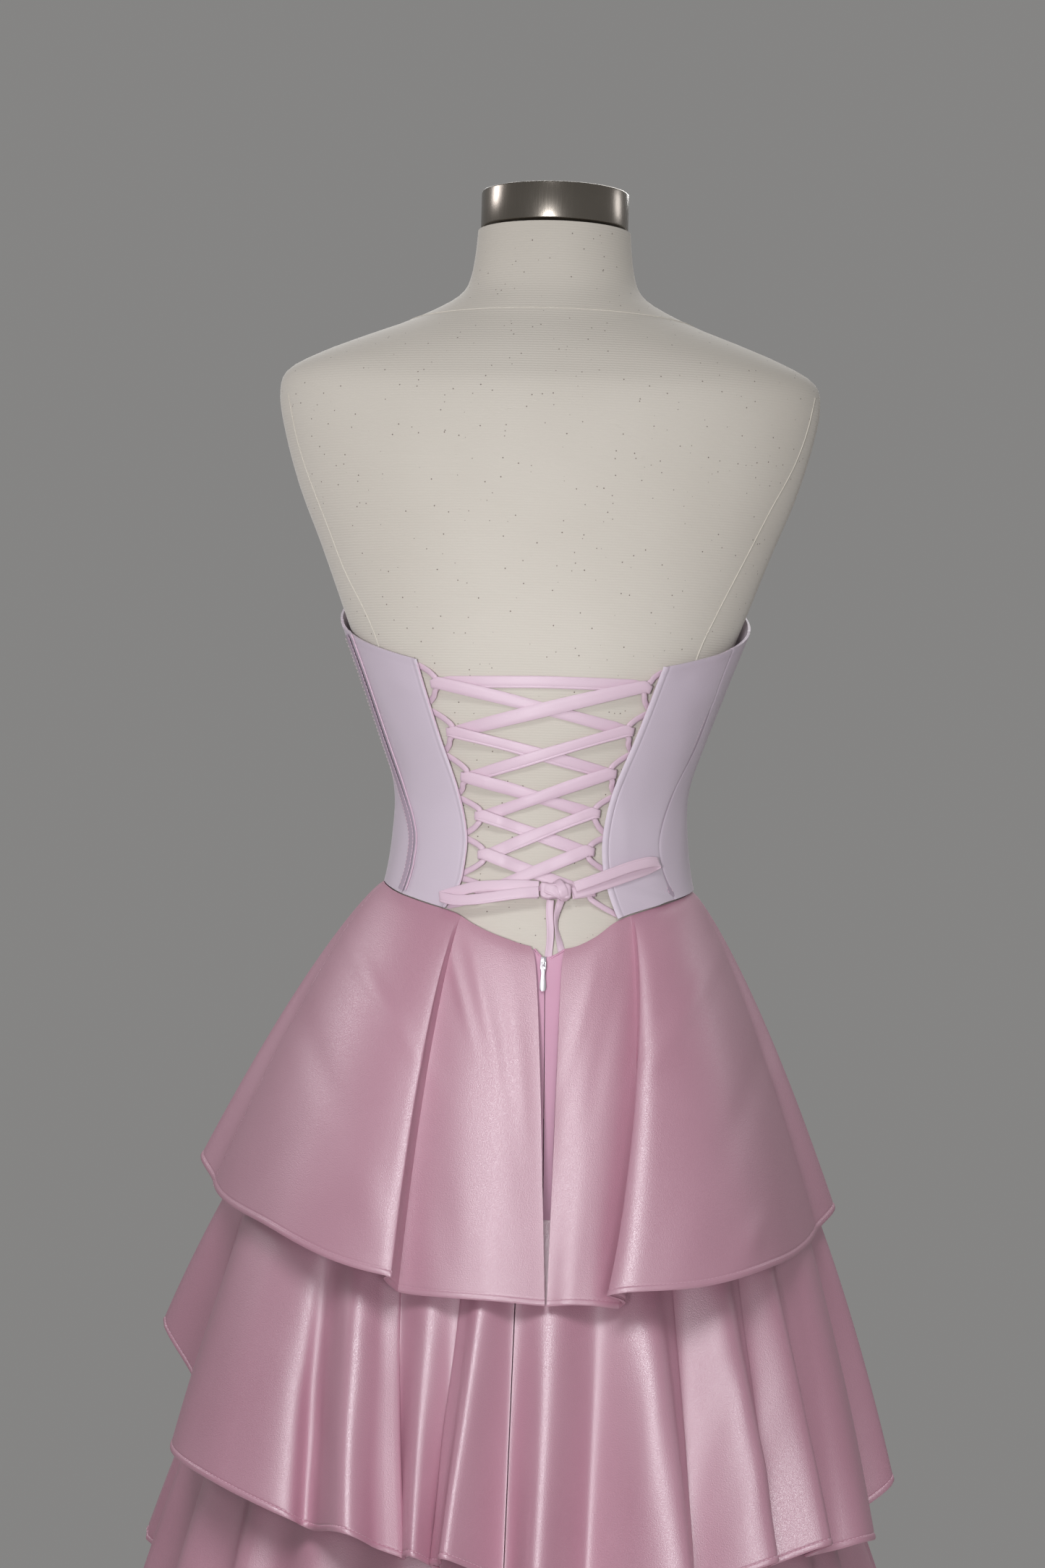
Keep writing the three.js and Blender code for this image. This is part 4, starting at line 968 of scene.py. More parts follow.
# %% Boning channels
CHANNEL = {"wide": 6.4, "thick": 0.9, "clear": 0.9, "piping": 0.8}
for side_name, sign in SIGNS.items():
    seam = seam_angle("seam_" + side_name)
    down = np.linspace(0.012, 0.988, 90)
    z, angle = on_panel(seam, seam, 0 * down, down)
    lift = BODICE["lift"] + CHANNEL["clear"] + CHANNEL["thick"] / 2
    normal = skin_normal(z, angle)
    line = skin(z, angle, lift + 0 * z)
    channel = swept("channel_" + side_name, line, normal, CHANNEL["wide"], CHANNEL["thick"], 3.0, 0.4)
    settle(channel, CHANNEL_SATIN, "bodice_satin", "boning_channel_" + side_name)
    x = torso_point(z, angle)[:, 0]
    inner = on_back(x - sign * (CHANNEL["wide"] / 2 + 0.5), z, lift - 0.2 + 0 * z)
    piping = swept("channel_piping_" + side_name, inner, normal, CHANNEL["piping"], 1.0, 3.0, 0.9)
    settle(piping, PIPING_SATIN, "bodice_satin")
    lines = [(on_back(x + sign * shift, z, lift + 0.45 + 0 * z), normal) for shift in (-1.5, 1.5)]
    sewn = stitched("channel_stitches_" + side_name, lines, 3.0, 1.9, 0.35, 0.3)
    settle(sewn, THREAD, "bodice_satin")
    edge = seam_angle("edge_" + side_name)
    z, angle = on_panel(edge, edge, 0 * down, down)
    x = torso_point(z, angle)[:, 0]
    rolled = on_back(x + sign * 0.75, z, BODICE["lift"] - 0.75 + 0 * z)
    edge_piping = swept("edge_piping_" + side_name, rolled, skin_normal(z, angle), 1.0, 1.8, 3.0, 0.9)
    settle(edge_piping, PIPING_SATIN, "bodice_satin")

# %% [markdown]
# ## Loops and lace
# Twelve soft loops stand out from the laced edges, and one long flat tube of the same satin runs
# through them. It comes from behind each loop, turns round it and leaves over its front. Both are
# swept along a route, because a lace is one continuous thing and its crossings have to clear.

# %% Loops
LOOPS = {
    "left": rows_of("""
start_x start_z tip_x tip_z end_x end_z
90.4 1133 76.3 1121 82.5 1106
79.7 1099 63.4 1084.4 69.5 1070
67.9 1066 52.1 1050.4 58.5 1038
57.2 1034 41 1021 52.3 1008
52.2 1004 38.1 992 53.6 978
54.8 974 39.5 964 62.5 953
"""),
    "right": rows_of("""
start_x start_z tip_x tip_z end_x end_z
-85 1132 -73 1122 -77 1105
-75 1101 -60.4 1088.5 -64 1074
-63 1070 -48.4 1056 -52.2 1042
-51.5 1038 -37.2 1025.5 -46.2 1011
-46 1007 -33.8 996.5 -47 983
-47.5 979 -35.6 966 -56 950
"""),
}
LOOP = {"wide": 4.6, "thick": 2.6, "lift": 3.8, "tip_half": 5.7, "under": 4}
LOOP_ROOT = {"thick": 1.1, "lift": 1.05}
TAPE = {"wide": 5, "thick": 1, "lift": 1.15, "inside": 4.2, "top": 1131, "foot": 953}


def loop_of(side_name, k):
    row = {name: values[k] for name, values in LOOPS[side_name].items()}
    start, end, tip = (np.array([row[n + "_x"], row[n + "_z"]]) for n in ("start", "end", "tip"))
    away = unit((start + end) / 2 - tip)
    return start, end, tip, away, tip + away * LOOP["wide"] / 2


def loop_stations(side_name, k, sign):
    start, end, tip, away, centre = loop_of(side_name, k)
    down = np.array([-away[1], away[0]]) * -sign
    upper = centre - down * LOOP["tip_half"] + away * 1.6
    lower = centre + down * LOOP["tip_half"] + away * 1.6
    under = np.array([sign * LOOP["under"], 0])
    inner = down * LOOP["tip_half"] * 0.45
    spots = [start + under, start + under * 0.6, mix(start, upper, 0.5), upper, centre - inner]
    spots += [centre + inner, lower, mix(end, lower, 0.5), end + under * 0.6, end + under]
    spots = np.array(spots)
    rise = np.array([0, 0, 0.55, 1, 1, 1, 1, 0.55, 0, 0])
    points = on_back(spots[:, 0], spots[:, 1], mix(LOOP_ROOT["lift"], LOOP["lift"], rise))
    faces = skin_normal(spots[:, 1], angle_at(spots[:, 0], spots[:, 1]))
    return points, faces, mix(LOOP_ROOT["thick"], LOOP["thick"], rise)


for side_name, sign in SIGNS.items():
    z = np.linspace(TAPE["top"], TAPE["foot"], 40)
    x = read(BACK_SEAMS, "z", "edge_" + side_name, z) + sign * TAPE["inside"]
    line, normal = on_back(x, z, TAPE["lift"] + 0 * z), skin_normal(z, angle_at(x, z))
    parts = [swept("tape", line, normal, TAPE["wide"], TAPE["thick"], 6.0)]
    for k in range(6):
        points, faces, thick = loop_stations(side_name, k, sign)
        parts.append(swept("loop", points, faces, LOOP["wide"], thick, 0.9, 0.8))
    loops = joined_as("loops_sewn_" + side_name, parts)
    settle(loops, LACE_SATIN, "lace_satin", "loops_" + side_name)

# %% The lace's route
LACE = {"wide": 9.2, "turn_wide": 6.6, "thick": 1.3, "hold": 15, "leave": 13, "station": 7}
LACE_LIFT = {"low": 1.4, "over": 3.5, "high": 6.3, "leave": 5.4, "end": 4.4}
TURN = rows_of("""
out lift face
1.2 1.4 0
3.2 2.1 45
3.8 3.8 90
3.2 5.5 135
1.2 6.3 180
""")
MIDDLE_TOP = np.array([0, 1122.5])
KNOT = {"x": -12.2, "z": 965.5, "wide": 23, "tall": 14, "low": 3.2, "deep": 9.4, "clear": 0.9}


def strand_lift(s, length, on_top):
    crossing = LACE_LIFT["over"] if on_top else LACE_LIFT["low"]
    leave, hold, half = LACE["leave"], LACE["hold"], length / 2
    places = [0, leave, half - hold, half + hold, length - leave, length]
    lifts = [LACE_LIFT["high"], LACE_LIFT["leave"], crossing, crossing, LACE_LIFT["low"], LACE_LIFT["low"]]
    return float(np.interp(s, places, lifts))


def turned_face(x, z, lift, way, face):
    """The face of a ribbon that is turning over towards way, by face degrees."""
    normal = skin_normal(z, angle_at(x, z))
    aside = unit(on_back(x + way[0], z + way[1], lift) - on_back(x, z, lift))
    return unit(-normal * math.cos(math.radians(face)) + aside * math.sin(math.radians(face)))


def lace_half(order, knot_side):
    stations, outward = [], 1

    def place(at, lift, way=None, face=0, wide=LACE["wide"]):
        x, z = float(at[0]), float(at[1])
        if way is None:
            normal = skin_normal(z, angle_at(x, z)) * outward
        else:
            normal = -outward * turned_face(x, z, lift, way, face)
            wide = LACE["turn_wide"]
        stations.append((on_back(x, z, lift), normal, wide))

    loops = [loop_of(side_name, k) for k, side_name in enumerate(order)]
    for share in (0.08, 0.22, 0.36, 0.5, 0.64, 0.78, 0.92):
        place(mix(MIDDLE_TOP, loops[0][2], share), LACE_LIFT["low"])
    for k, (_, _, tip, away, centre) in enumerate(loops):
        for out, lift, face in zip(TURN["out"], TURN["lift"], TURN["face"]):
            place(centre + away * out, lift, away, face)
        outward = -outward
        if k < len(loops) - 1:
            end = loops[k + 1][2]
            length = float(np.linalg.norm(end - tip))
            count = math.ceil(length / LACE["station"])
            for j in range(count):
                uneven = 1 + 0.06 * math.sin(3.1 * k + 7 * j / count)
                if k == 0 and order[k] == "right":
                    uneven = 1 + 0.2 * math.sin(math.pi * j / count)
                lift = strand_lift(length * j / count, length, order[k] == "right")
                place(mix(tip, end, j / count), lift, wide=LACE["wide"] * uneven)
        else:
            end = np.array([KNOT["x"] + knot_side * (KNOT["wide"] / 2 + KNOT["clear"]), KNOT["z"] - 1])
            for share in (0.2, 0.6, 1):
                place(mix(tip, end, share), mix(LACE_LIFT["high"], LACE_LIFT["end"], share))
    return stations


stations = lace_half(["left", "right"] * 3, -1)[::-1] + lace_half(["right", "left"] * 3, 1)
lace_points, lace_faces, lace_widths = (np.array([row[c] for row in stations]) for c in range(3))
lace = swept("lace_ribbon", lace_points, lace_faces, lace_widths, LACE["thick"], 1.6, seamed=True)
settle(lace, LACE_SATIN, "lace_satin", "lace")
lace_length = float(np.linalg.norm(np.diff(resampled(lace_points, 1.6)[0], axis=0), axis=1).sum())
print("lace through the loops:", round(lace_length), "mm")

# %% Bow
BOW = {
    "left": rows_of("""
x z lift face
-0.35 968.5 8.6 0
12 968.8 9.3 0
28 968.2 9.2 0
44 966.5 9 0
58 962 9 0
65.5 959 9.2 25
68.3 957.3 10.8 90
65.2 955.8 12.6 155
56 954.2 13.2 180
42 955.6 13.2 180
26 959 13 180
12 962 12.4 180
-0.35 963.8 11.2 180
"""),
    "right": rows_of("""
x z lift face
-24.9 963.4 8.6 0
-36 967 9.3 0
-50 972.5 9.2 0
-64 978 9 0
-76 982.8 9.1 0
-81.5 985.6 9.6 25
-83.6 987 11 90
-81 988.2 12.5 155
-74 987.8 13.2 180
-62 984 13.2 180
-48 978 13 180
-35 972.3 12.4 180
-25.4 968.4 11.2 180
"""),
}
TAIL_ROWS = rows_of("""
z lift
958.5 6.4
954 5.6
949 4.8
944 4.2
938 3.6
932 2.8
926 1.7
918 1.2
906 1.15
893 1.15
""")
RIBBON = {"wide": 8.2, "turn_wide": 6.8, "thick": 1.2, "tail_wide": 5.6}
for side_name, sign in SIGNS.items():
    table = BOW[side_name]
    x, z, lift = (np.array(table[c]) for c in ("x", "z", "lift"))
    faces = [turned_face(x[k], z[k], lift[k], (sign, 0), table["face"][k]) for k in range(len(x))]
    wide = RIBBON["wide"] - (RIBBON["wide"] - RIBBON["turn_wide"]) * np.sin(np.radians(table["face"]))
    bow = swept("bow_" + side_name, on_back(x, z, lift), faces, wide, RIBBON["thick"], 1.4, seamed=True)
    settle(bow, LACE_SATIN, "lace_satin", "bow_loop_" + side_name)
    z, lift = np.array(TAIL_ROWS["z"]), np.array(TAIL_ROWS["lift"])
    x = -9.2 + 0.5 * np.sin(z * 0.16) if sign > 0 else -16.2 + 2.6 * np.sin((z - 930) * 0.115)
    twist = 62 * hump(z, 940, 13) if sign < 0 else -24 * hump(z, 930, 16)
    faces = [turned_face(x[k], z[k], lift[k], (-1, 0), 180 - twist[k]) for k in range(len(z))]
    tail = swept("tail_" + side_name, on_back(x, z, lift), faces, RIBBON["tail_wide"], 1.1, 2.0, seamed=True)
    settle(tail, LACE_SATIN, "lace_satin", "lace_tail_" + side_name)

# %% [markdown]
# ## The knot
# The knot is the lace wrapped once round itself. It starts as a block, subdivided and rounded, and
# two swept bands over it show where the lace goes round and where it tucks under.


# %% The knot
def block(name, size, centre=(0, 0, 0)):
    bpy.ops.object.select_all(action="DESELECT")
    bpy.ops.mesh.primitive_cube_add(size=1, location=centre)
    piece = added(name)
    piece.scale = size
    bpy.ops.object.transform_apply(location=True, rotation=True, scale=True)
    return piece


knot = block("knot", (KNOT["wide"] * 0.94, KNOT["tall"] * 0.92, KNOT["deep"] * 0.86))
bpy.ops.object.mode_set(mode="EDIT")
bpy.ops.mesh.subdivide(number_cuts=2)
bpy.ops.object.mode_set(mode="OBJECT")
rounding = knot.modifiers.new("round", "SUBSURF")
rounding.levels = rounding.render_levels = 3
bpy.ops.object.modifier_apply(modifier=rounding.name)
flat = np.array([v.co[:] for v in knot.data.vertices])
tuck = 1 - 0.16 * hump(flat[:, 0], -4, 2.2) - 0.12 * hump(flat[:, 0], 5, 1.8)
pinch = 1 - 0.10 * hump(flat[:, 0], 1, 5)
slump = -0.09 * flat[:, 0] + 1.2 * hump(flat[:, 0], 6, 5)
lift = KNOT["low"] + KNOT["deep"] / 2 + flat[:, 2] * tuck
seated = on_back(KNOT["x"] + flat[:, 0], KNOT["z"] + flat[:, 1] * pinch - slump, lift)
knot.data.vertices.foreach_set("co", (seated * MM).astype(np.float32).ravel())
knot.data.update()
normals_out(knot)
bpy.ops.object.shade_smooth()
BANDS = {
    "wrap": rows_of("""
x z lift wide
-12.5 973 5.6 6
-13.6 971.4 10 7
-15 968 12.6 8.4
-16.6 964 12.9 8.6
-18 960 11 7.4
-18.3 958.2 6.4 6
"""),
    "cross": rows_of("""
x z lift wide
-1.2 968.2 7.4 6
-3.6 967.4 10.6 6.6
-7 966.2 12.2 7.6
-11 964.4 12.7 7.8
-15 961.8 11.9 6.8
-18.6 959.4 9 5
"""),
}
bands = []
for name, table in BANDS.items():
    x, z, lift = (np.array(table[c]) for c in ("x", "z", "lift"))
    faces = skin_normal(z, angle_at(x, z))
    bands.append(swept(name, on_back(x, z, lift), faces, table["wide"], 1.4, 0.8, seamed=True))
knot = joined_as("knot_wrapped", [knot] + bands)
settle(knot, LACE_SATIN, "lace_satin", "bow_knot")
print("knot:", len(knot.data.polygons), "faces")

# %% [markdown]
# ## The skirt
# The flounces are cut full and sewn to a plain A-line underskirt. Each flounce is one formula: a table of
# folds says where each valley is at the seam and at the hem, how far the ridge between two valleys stands out,
# and how its flanks lean or tuck. Low creases are then placed one by one.

# %% The underskirt
A_LINE = rows_of("""
z half back front
180 248 248 205
300 243 236 197
400 237 223 188
500 230 206 177
600 226 190 167
735 206 162 145
813 184 142 126
869 164 126 115
905 148 115 108
930 133 105 103
950 121 96 98
""")
UNDERSKIRT = {"lift": 3.9, "thick": 1.2, "melt": 40, "foot": 42, "rows": 60}
HEMS = rows_of("""
angle tier_1 tier_2 tier_3 tier_4
-180 770 660 555 450
-135 752 600 470 330
-100 719 524 350 165
-75 707 478 300 95
-50 692 488 280 50
-28 675 478 265 24
-5 675 484 262 18
25 682 502 275 32
50 714 520 305 72
75 730 541 365 150
97 743 598 435 240
135 758 640 515 370
180 770 660 555 450
""")
SEWN_ABOVE = 56
ZIP = {"angle": -2.5, "gap": 0.1, "opening": 0.018}
ZIP_OPEN = {
    "left": {"angle": 1.9, "top": 924.7, "stop": 913.5},
    "right": {"angle": -10, "top": 923.7, "stop": 912.9},
}


def hem_height(number, angle):
    return read(HEMS, "angle", "tier_%d" % number, turned(angle))


def oval(angle, z, left, right, back, front):
    sine, cosine = np.sin(np.radians(angle)), np.cos(np.radians(angle))
    x, y = np.where(sine > 0, left, right) * sine, np.where(cosine > 0, back, front) * cosine
    return np.stack([x, y, z + 0 * sine], -1)


def underskirt_point(angle, z):
    half = read(A_LINE, "z", "half", z)
    free = oval(angle, z, half, half, read(A_LINE, "z", "back", z), read(A_LINE, "z", "front", z))
    top = waist(angle)
    share = smooth_step(top - z, 0, UNDERSKIRT["melt"])[..., None]
    held = skin(np.minimum(z, top), angle, UNDERSKIRT["lift"] + 0 * top)
    held[..., 2] = z
    return mix(held, free, share)


def under_panel(name, start, end, columns):
    def place(across, down):
        opening = np.clip(1 - down / ZIP["opening"], 0, 1)
        low, high = ZIP["angle"] + start + ZIP["gap"], ZIP["angle"] + end - ZIP["gap"]
        first = mix(low, ZIP_OPEN["left"]["angle"], opening) if start == 0 else low
        final = mix(high, 360 + ZIP_OPEN["right"]["angle"], opening) if end == 360 else high
        angle = mix(first, final, across)
        foot = hem_height(3, angle) + UNDERSKIRT["foot"]
        return underskirt_point(angle, mix(waist(angle) - SEAM_GAP, foot, down**1.15))

    return cloth(name, columns, UNDERSKIRT["rows"], place, UNDERSKIRT["thick"])


UNDER_PANELS = (("back_left", 0, 97, 60), ("front", 97, 258, 80), ("back_right", 258, 360, 60))
for name, start, end, columns in UNDER_PANELS:
    piece, area = under_panel("underskirt_%s_cloth" % name, start, end, columns)
    settle(piece, UNDERSKIRT_SATIN, "underskirt_satin", "underskirt_" + name)
    declared(piece, area)

# %% The flounces' folds
PLAIN = {"full": 2, "lean": 0, "tuck_from": 0, "tuck_to": 0, "skew": 1, "slide": 1}


def folds_of(text):
    table = rows_of(text)
    return {name: np.array(values) for name, values in table.items()}


TIER_1_FOLDS = folds_of("""
top hem depth full lean tuck_from tuck_to skew slide
1.9 -3.1 5 3 -0.04 0 0 1 0.35
27 22.5 30 2.6 0 3.6 0 0.28 0.8
84 82 13 2 0 0 0 1 1
112 110 17 2 0 0 0 1 1
136 136 18 2 0 0 0 1 1
160 160 15 2 0 0 0 1 1
183 183 17 2 0 0 0 1 1
207 207 17 2 0 0 0 1 1
232 232 18 2 0 0 0 1 1
256 256 15 2 0 0 0 1 1
277 279 31 2.6 0 0 6.2 -0.36 1
326 343 5 3 0.04 0 0 1 0.8
351 356.7 0 2 0 0 0 1 0.45
""")
TIER_2_FOLDS = folds_of("""
top hem depth full lean tuck_from tuck_to skew slide
2.3 2.9 34 2 0.24 0 2 1 1
12.5 13.6 20 2 -0.05 0 0 1 1
25 20 40 2 -0.2 3.2 0 1 1
42 37 36 3 0 4.3 0 0.74 1
86 87 34 2 0.1 0 0 1 1
106 107 30 2 0 0 0 1 1
124 125 28 2 0.1 0 0 1 1
144 144 29 2 0 0 0 1 1
164 163 25 2 -0.1 0 0 1 1
183 183 27 2 0 0 0 1 1
202 204 29 2 0.1 0 0 1 1
224 225 28 2 0 0 0 1 1
244 245 31 2 0 0 0 1 1
260 262 32 2 0.1 0 0 1 1
276 277 30 2.4 0.12 0 1.5 1 1
302 305 30 2 -0.2 0 0 1 1
315 317 36 2 -0.2 2 0 1 1
331 333 40 2.4 -0.25 2.5 0 1 1
347 349.8 28 2.2 0.12 0 0 1 1
362.2 362.8 0 2 0 0 0 1 1
""")
SLIT_HALF = 0.12


def flutes(count, slit, depth):
    k = np.arange(count)
    widths = 1 + 0.24 * np.sin(2.4 * k + count) + 0.12 * np.sin(5.1 * k)
    at = slit + np.concatenate([[0], np.cumsum(widths / widths.sum() * (360 - 2 * SLIT_HALF))])
    deep = np.append(depth * (0.9 + 0.16 * np.sin(1.9 * k + 1)), 0)
    lean = np.append(0.22 * np.sin(2.9 * k + 0.6), 0)
    plain = {name: np.full(count + 1, float(value)) for name, value in PLAIN.items()}
    return {**plain, "top": at, "hem": at.copy(), "depth": deep, "lean": lean}


TIER_SHAPES = rows_of("""
left right back front raise swell sink grow sharp
251 229 211 188 0.55 0.82 6 0.75 0.42
269 270 258 222 0.5 0.95 15 1 0.75
283 297 318 254 0.35 1.1 12 1 1
345 360 428 288 0.35 1.25 15 1 1
""")
FOLDS = [TIER_1_FOLDS, TIER_2_FOLDS, flutes(23, 1.5, 32), flutes(25, -1, 36)]
TIERS = {}
for k, folds in enumerate(FOLDS):
    TIERS[k + 1] = {"folds": folds, **{name: values[k] for name, values in TIER_SHAPES.items()}}
CLOTH = {"thick": 1.8, "lift": 5.9, "over_seam": 1.0, "back_clear": 0.8, "front_clear": 1.2, "tuck": 0.24}
DEEP = 30
NEAR = 0.002


def tuck_shape(u):
    inside = (u > 0) & (u < CLOTH["tuck"])
    return np.where(inside, np.sin(np.pi * np.clip(u, 0, CLOTH["tuck"]) / CLOTH["tuck"]) ** 2, 0)


def lap_shape(u):
    """A pleat's edge laps its neighbour quickly, and lets go of it slowly."""
    return smooth_step(u, 0, 0.035) * (1 - smooth_step(u, 0.1, 0.4))


def rise_of(w, fold):
    """How far up its fold a place stands, from 0 in the valleys to 1 on the ridge."""
    from_end = np.where(fold["skew"] < 0, 1 - w, w)
    return 1 - np.abs(np.cos(np.pi * from_end ** np.abs(fold["skew"]))) ** fold["full"]


def outward_at(angle):
    return np.stack([np.sin(np.radians(angle)), np.cos(np.radians(angle)), 0 * angle], -1)


def tier_point(number, u, v):
    """u counts folds and the share within one, and v runs from the seam to the hem."""
    tier = TIERS[number]
    folds = tier["folds"]
    k = np.clip(np.floor(u).astype(int), 0, len(folds["top"]) - 2)
    w, down = u - k, np.maximum(v, 0)
    inside = np.clip(w, 0, 1)
    here = {name: values[k] for name, values in folds.items()}
    end_slide = down ** folds["slide"][k + 1]
    starts = mix(here["top"], here["hem"], down ** here["slide"])
    width = mix(folds["top"][k + 1], folds["hem"][k + 1], end_slide) - starts
    ridge = np.sin(np.pi * inside) ** 2
    angle = starts + w * width + here["lean"] * width * ridge * down
    tuck = lap_shape if number == 1 else tuck_shape
    grown = down ** tier["sharp"]
    angle = angle + (here["tuck_to"] * tuck(1 - w) - here["tuck_from"] * tuck(w)) * grown
    rise = rise_of(inside, here)
    foot = hem_height(number, angle) + tier["raise"] * here["depth"] * rise
    clear = mix(CLOTH["front_clear"], CLOTH["back_clear"], (1 + np.cos(np.radians(angle))) / 2)
    if number == 1:
        top = waist(angle) + CLOTH["over_seam"]
        start = skin(top, angle, CLOTH["lift"] + 0 * top)
    else:
        top = hem_height(number - 1, angle) + SEWN_ABOVE
        start = underskirt_point(angle, top) + outward_at(angle) * (CLOTH["thick"] + clear)[..., None]
    end = oval(angle, foot, tier["left"], tier["right"], tier["back"], tier["front"])
    p = mix(start, end, (down ** tier["swell"])[..., None])
    p[..., 2] = mix(top, foot, v)
    sharper = np.maximum(down, 1e-6) ** (tier["grow"] * tier["sharp"] ** 0.5)
    deepened = np.where(here["depth"] > DEEP, sharper, down ** tier["grow"])
    stand = here["depth"] * rise * deepened - tier["sink"] * down ** (tier["grow"] + 1)
    return p + outward_at(angle) * stand[..., None], angle


TIER_CREASES = {
    1: rows_of("""
x z wide tall depth slant
40 890 5 45 0.9 0.25
22 860 6 60 -0.8 0.15
10 830 8 50 0.7 0.1
58 900 4 40 1.0 0.3
-35 880 5 50 0.9 -0.25
-52 860 7 60 -0.8 -0.2
-14 800 7 60 0.7 0.05
110 880 9 60 1.3 0.75
150 820 14 70 -1.2 0.6
-110 880 10 60 1.2 -0.7
-150 800 14 70 -1.2 -0.55
120 760 16 60 1.4 0.4
-120 740 16 60 1.3 -0.4
60 720 12 40 -1.0 0.1
-60 720 12 40 -1.0 -0.1
30 700 10 30 0.8 0
-160 720 10 20 1.6 -0.6
"""),
    2: rows_of("""
x z wide tall depth slant
120 640 14 60 1.4 0.3
150 580 12 50 -1.3 0.3
60 600 8 50 0.9 0.1
40 540 9 40 -0.8 0
-40 610 9 60 0.9 -0.05
-90 600 10 60 1.0 -0.1
-140 600 12 60 -1.2 -0.3
-170 560 12 50 1.3 -0.3
10 560 8 60 0.7 0
-70 530 9 40 -0.8 0
"""),
}


# the grid's rows crowd at the hem, its columns crowd in the valleys, and a hem is sewn 5 mm up
ROW_SHARES, HEIGHT_SHARES = (0, 0.86, 1), (0, 0.975, 1)
CROWDING = 0.75
TIER_TALL, HEM_SEWN = 290, 5.0


def flounce(number, name, start, end, columns, rows):
    folds = TIERS[number]["folds"]
    first, final = (int(np.argmin(np.abs(folds["hem"] - angle))) for angle in (start, end))
    inset = 0.004
    weights = np.diff(folds["hem"][first : final + 1]) * 4 + folds["depth"][first:final]
    stops = np.concatenate([[0], np.cumsum(weights) / weights.sum()])

    def place(across, down, lift=0.0):
        counted = np.interp(across, stops, np.arange(first, final + 1))
        turns = 2 * np.pi * (counted - np.floor(counted))
        crowded = counted - CROWDING * np.sin(turns) / (2 * np.pi)
        u = np.clip(crowded, first + inset, final - inset)
        v = np.interp(down, ROW_SHARES, HEIGHT_SHARES)
        p, angle = tier_point(number, u, v)
        nu, nv = np.clip(u, first + NEAR, final - NEAR), np.clip(v, NEAR, 1 - NEAR)
        across_way = tier_point(number, nu + 0.001, nv)[0] - tier_point(number, nu - 0.001, nv)[0]
        down_way = tier_point(number, nu, nv + 0.001)[0] - tier_point(number, nu, nv - 0.001)[0]
        normal = unit(np.cross(across_way, down_way))
        above_hem = (1 - v) * TIER_TALL
        rolled = 0.55 * smooth_step(HEM_SEWN + 0.2 - above_hem, 0, 0.9)
        rolled = rolled - 0.45 * hump(above_hem, HEM_SEWN, 0.7) - 0.7 * hump(above_hem, 0, 0.8)
        waves = 0.5 * soft_waves(u * 5.1 + number, v * 3.1) * smooth_step(v, 0.05, 0.4)
        wavy_hem = 1.1 * soft_waves(u * 11.3, number * 1.7 + 0 * v) * smooth_step(v, 0.6, 1)
        extra = rolled + waves + wavy_hem
        if number in TIER_CREASES:
            extra = extra + np.where(p[:, 1] > 0, creased(p[:, 0], p[:, 2], TIER_CREASES[number]), 0)
        return p + normal * (extra + lift)[..., None]

    piece, area = cloth(name, columns, rows, place, CLOTH["thick"])
    along = np.linspace(0.004, 0.996, columns * 2)
    sewn_at = np.interp(1 - HEM_SEWN / TIER_TALL, HEIGHT_SHARES, ROW_SHARES)
    line, above = (place(along, share + 0 * along, 0.05) for share in (sewn_at, sewn_at - 0.01))
    faces = unit(np.cross(np.gradient(line, axis=0), line - above))
    return piece, area, (line, faces)


PARTS = (("back_left", 0, 95), ("front", 95, 262), ("back_right", 262, 360))
SIZES = {1: (190, 66), 2: (190, 60), 3: (140, 52), 4: (150, 56)}
for number in TIERS:
    columns, rows = SIZES[number]
    for name, start, end in PARTS:
        node_name = "tier_%d_%s" % (number, name)
        piece, area, line = flounce(number, node_name + "_cloth", start, end, columns, rows)
        sewn = stitched(node_name + "_hem_stitches", [line], 3.4, 2.3, 0.45, 0.4)
        settle(piece, SKIRT_SATIN, "skirt_satin", node_name)
        settle(sewn, THREAD, "skirt_satin")
        declared(piece, area)
print("skirt cuts:", {name: cut for name, cut in CUTS.items() if name.startswith("tier")})

# %% [markdown]
# ## The zip
# The zip's two coils part where the skirt opens in a V. Each coil is a row of small teeth on a cord.
# The slider is a bevelled block with a bridge, and the pull is a flat drop with a window, which
# hangs on the bridge and is the one thing on the gown that turns on a hinge.

# %% Zip teeth
COIL = {"inside": 1.15, "top": 923, "foot": 915.5, "pitch": 1.15}
for side_name, sign in SIGNS.items():
    opening = ZIP_OPEN[side_name]
    z = np.linspace(COIL["top"], COIL["foot"], 30)
    share = (z - opening["stop"]) / (opening["top"] - opening["stop"])
    x = underskirt_point(mix(ZIP["angle"], opening["angle"], share), z)[:, 0] - sign * COIL["inside"]
    line = on_back(x, z, UNDERSKIRT["lift"] - 0.4 + 0 * z)
    normal = skin_normal(z, 0 * z)
    cord = swept("coil_" + side_name, line, normal, 1.2, 1.1, 1.5, 1.0)
    teeth = stitched("teeth", [(line + normal * 0.25, normal)], COIL["pitch"], 0.7, 1.9, 1.1)
    coil = joined_as("coil_teeth_" + side_name, [cord, teeth])
    settle(coil, UNDERSKIRT_SATIN, "underskirt_satin", "zip_coil_" + side_name)

# %% Slider and pull
HINGE = np.array([joint["pos_m"] for joint in frame["joints"]][0]) / MM
SLOPE = 0.39717
HINGE_OUT = 3.4
hung = Matrix.Translation(Vector(HINGE) * MM) @ Matrix.Rotation(SLOPE, 4, "X")
seat = hung @ Matrix.Scale(MM, 4) @ Matrix.Translation((0, -HINGE_OUT, 0))


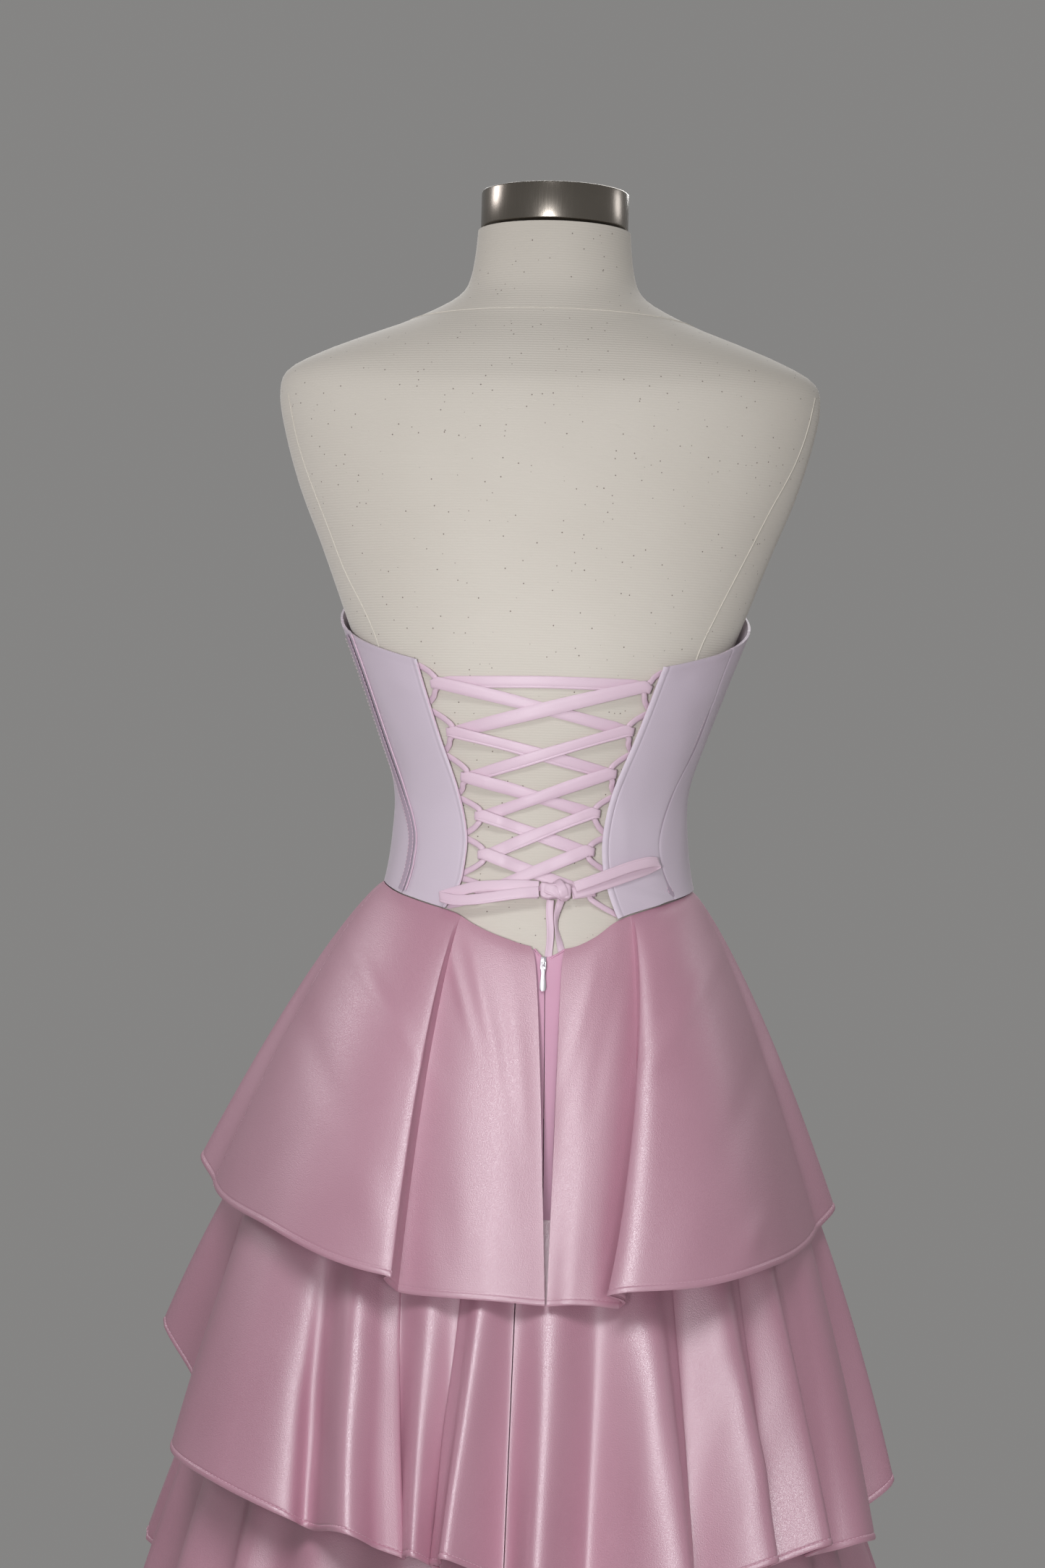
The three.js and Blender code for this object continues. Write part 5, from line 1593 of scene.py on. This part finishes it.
def slab(name, wide, deep, tall, out):
    return block(name, (wide, deep, tall), (0, out + deep / 2, 0))


def cut_out(piece, window):
    only(piece)
    cut = piece.modifiers.new("window", "BOOLEAN")
    cut.operation, cut.object, cut.solver = "DIFFERENCE", window, "EXACT"
    bpy.ops.object.modifier_apply(modifier=cut.name)
    bpy.data.objects.remove(window, do_unlink=True)


body = slab("slider_body", 6.2, 2.6, 8.6, 0)
faces_looking(body, (0, 0, -1))
bpy.ops.transform.resize(value=(0.62, 1, 1), center_override=(0, 0, 0))
bpy.ops.object.mode_set(mode="OBJECT")
arch = slab("bridge", 1.6, 2.5, 6, 2.55)
cut_out(arch, slab("window", 3, 1.6, 3.4, 2.6))
slider = joined_as("slider", [body, arch])
slider.data.transform(seat)
bevelled(slider, 0.35, 2)
settle(slider, SILVER, "silver", "zip_slider")

PULL_EDGE = rows_of("""
x z
2.3 0.45
2.3 -5
1.75 -6.9
1.5 -9.2
1.7 -12.5
2.15 -16.1
2.4 -19
2.4 -20.6
2.1 -21.8
1.2 -22.7
0 -23
""")
rim = list(zip(PULL_EDGE["x"], PULL_EDGE["z"]))
rim = rim + [(-x, z) for x, z in rim[-2::-1]]
corners = [(x, y, z) for y in (-0.45, 0.45) for x, z in rim]
n = len(rim)
sides = [[k, (k + 1) % n, n + (k + 1) % n, n + k] for k in range(n)]
pull = meshed("pull", corners, sides + [list(range(n))[::-1], list(range(n, 2 * n))])
window = slab("pull_window", 2.5, 3, 3.75, -1.5)
window.data.transform(Matrix.Translation((0, 0, -2.325)))
cut_out(pull, window)
pull.data.transform(Matrix.Translation((0, HINGE_OUT, 0)))
pull.data.transform(seat)
normals_out(pull)
bevelled(pull, 0.18, 2)
settle(pull, SILVER, "silver", "zip_pull", body=PULL)

# %% [markdown]
# ## The last steps
# The triangles of all the pieces that are shown are counted.

# %% Finish
bpy.ops.object.select_all(action="DESELECT")
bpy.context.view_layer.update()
total = sum(len(o.data.loop_triangles) or len(o.data.polygons) * 2 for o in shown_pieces() if o.type == "MESH")
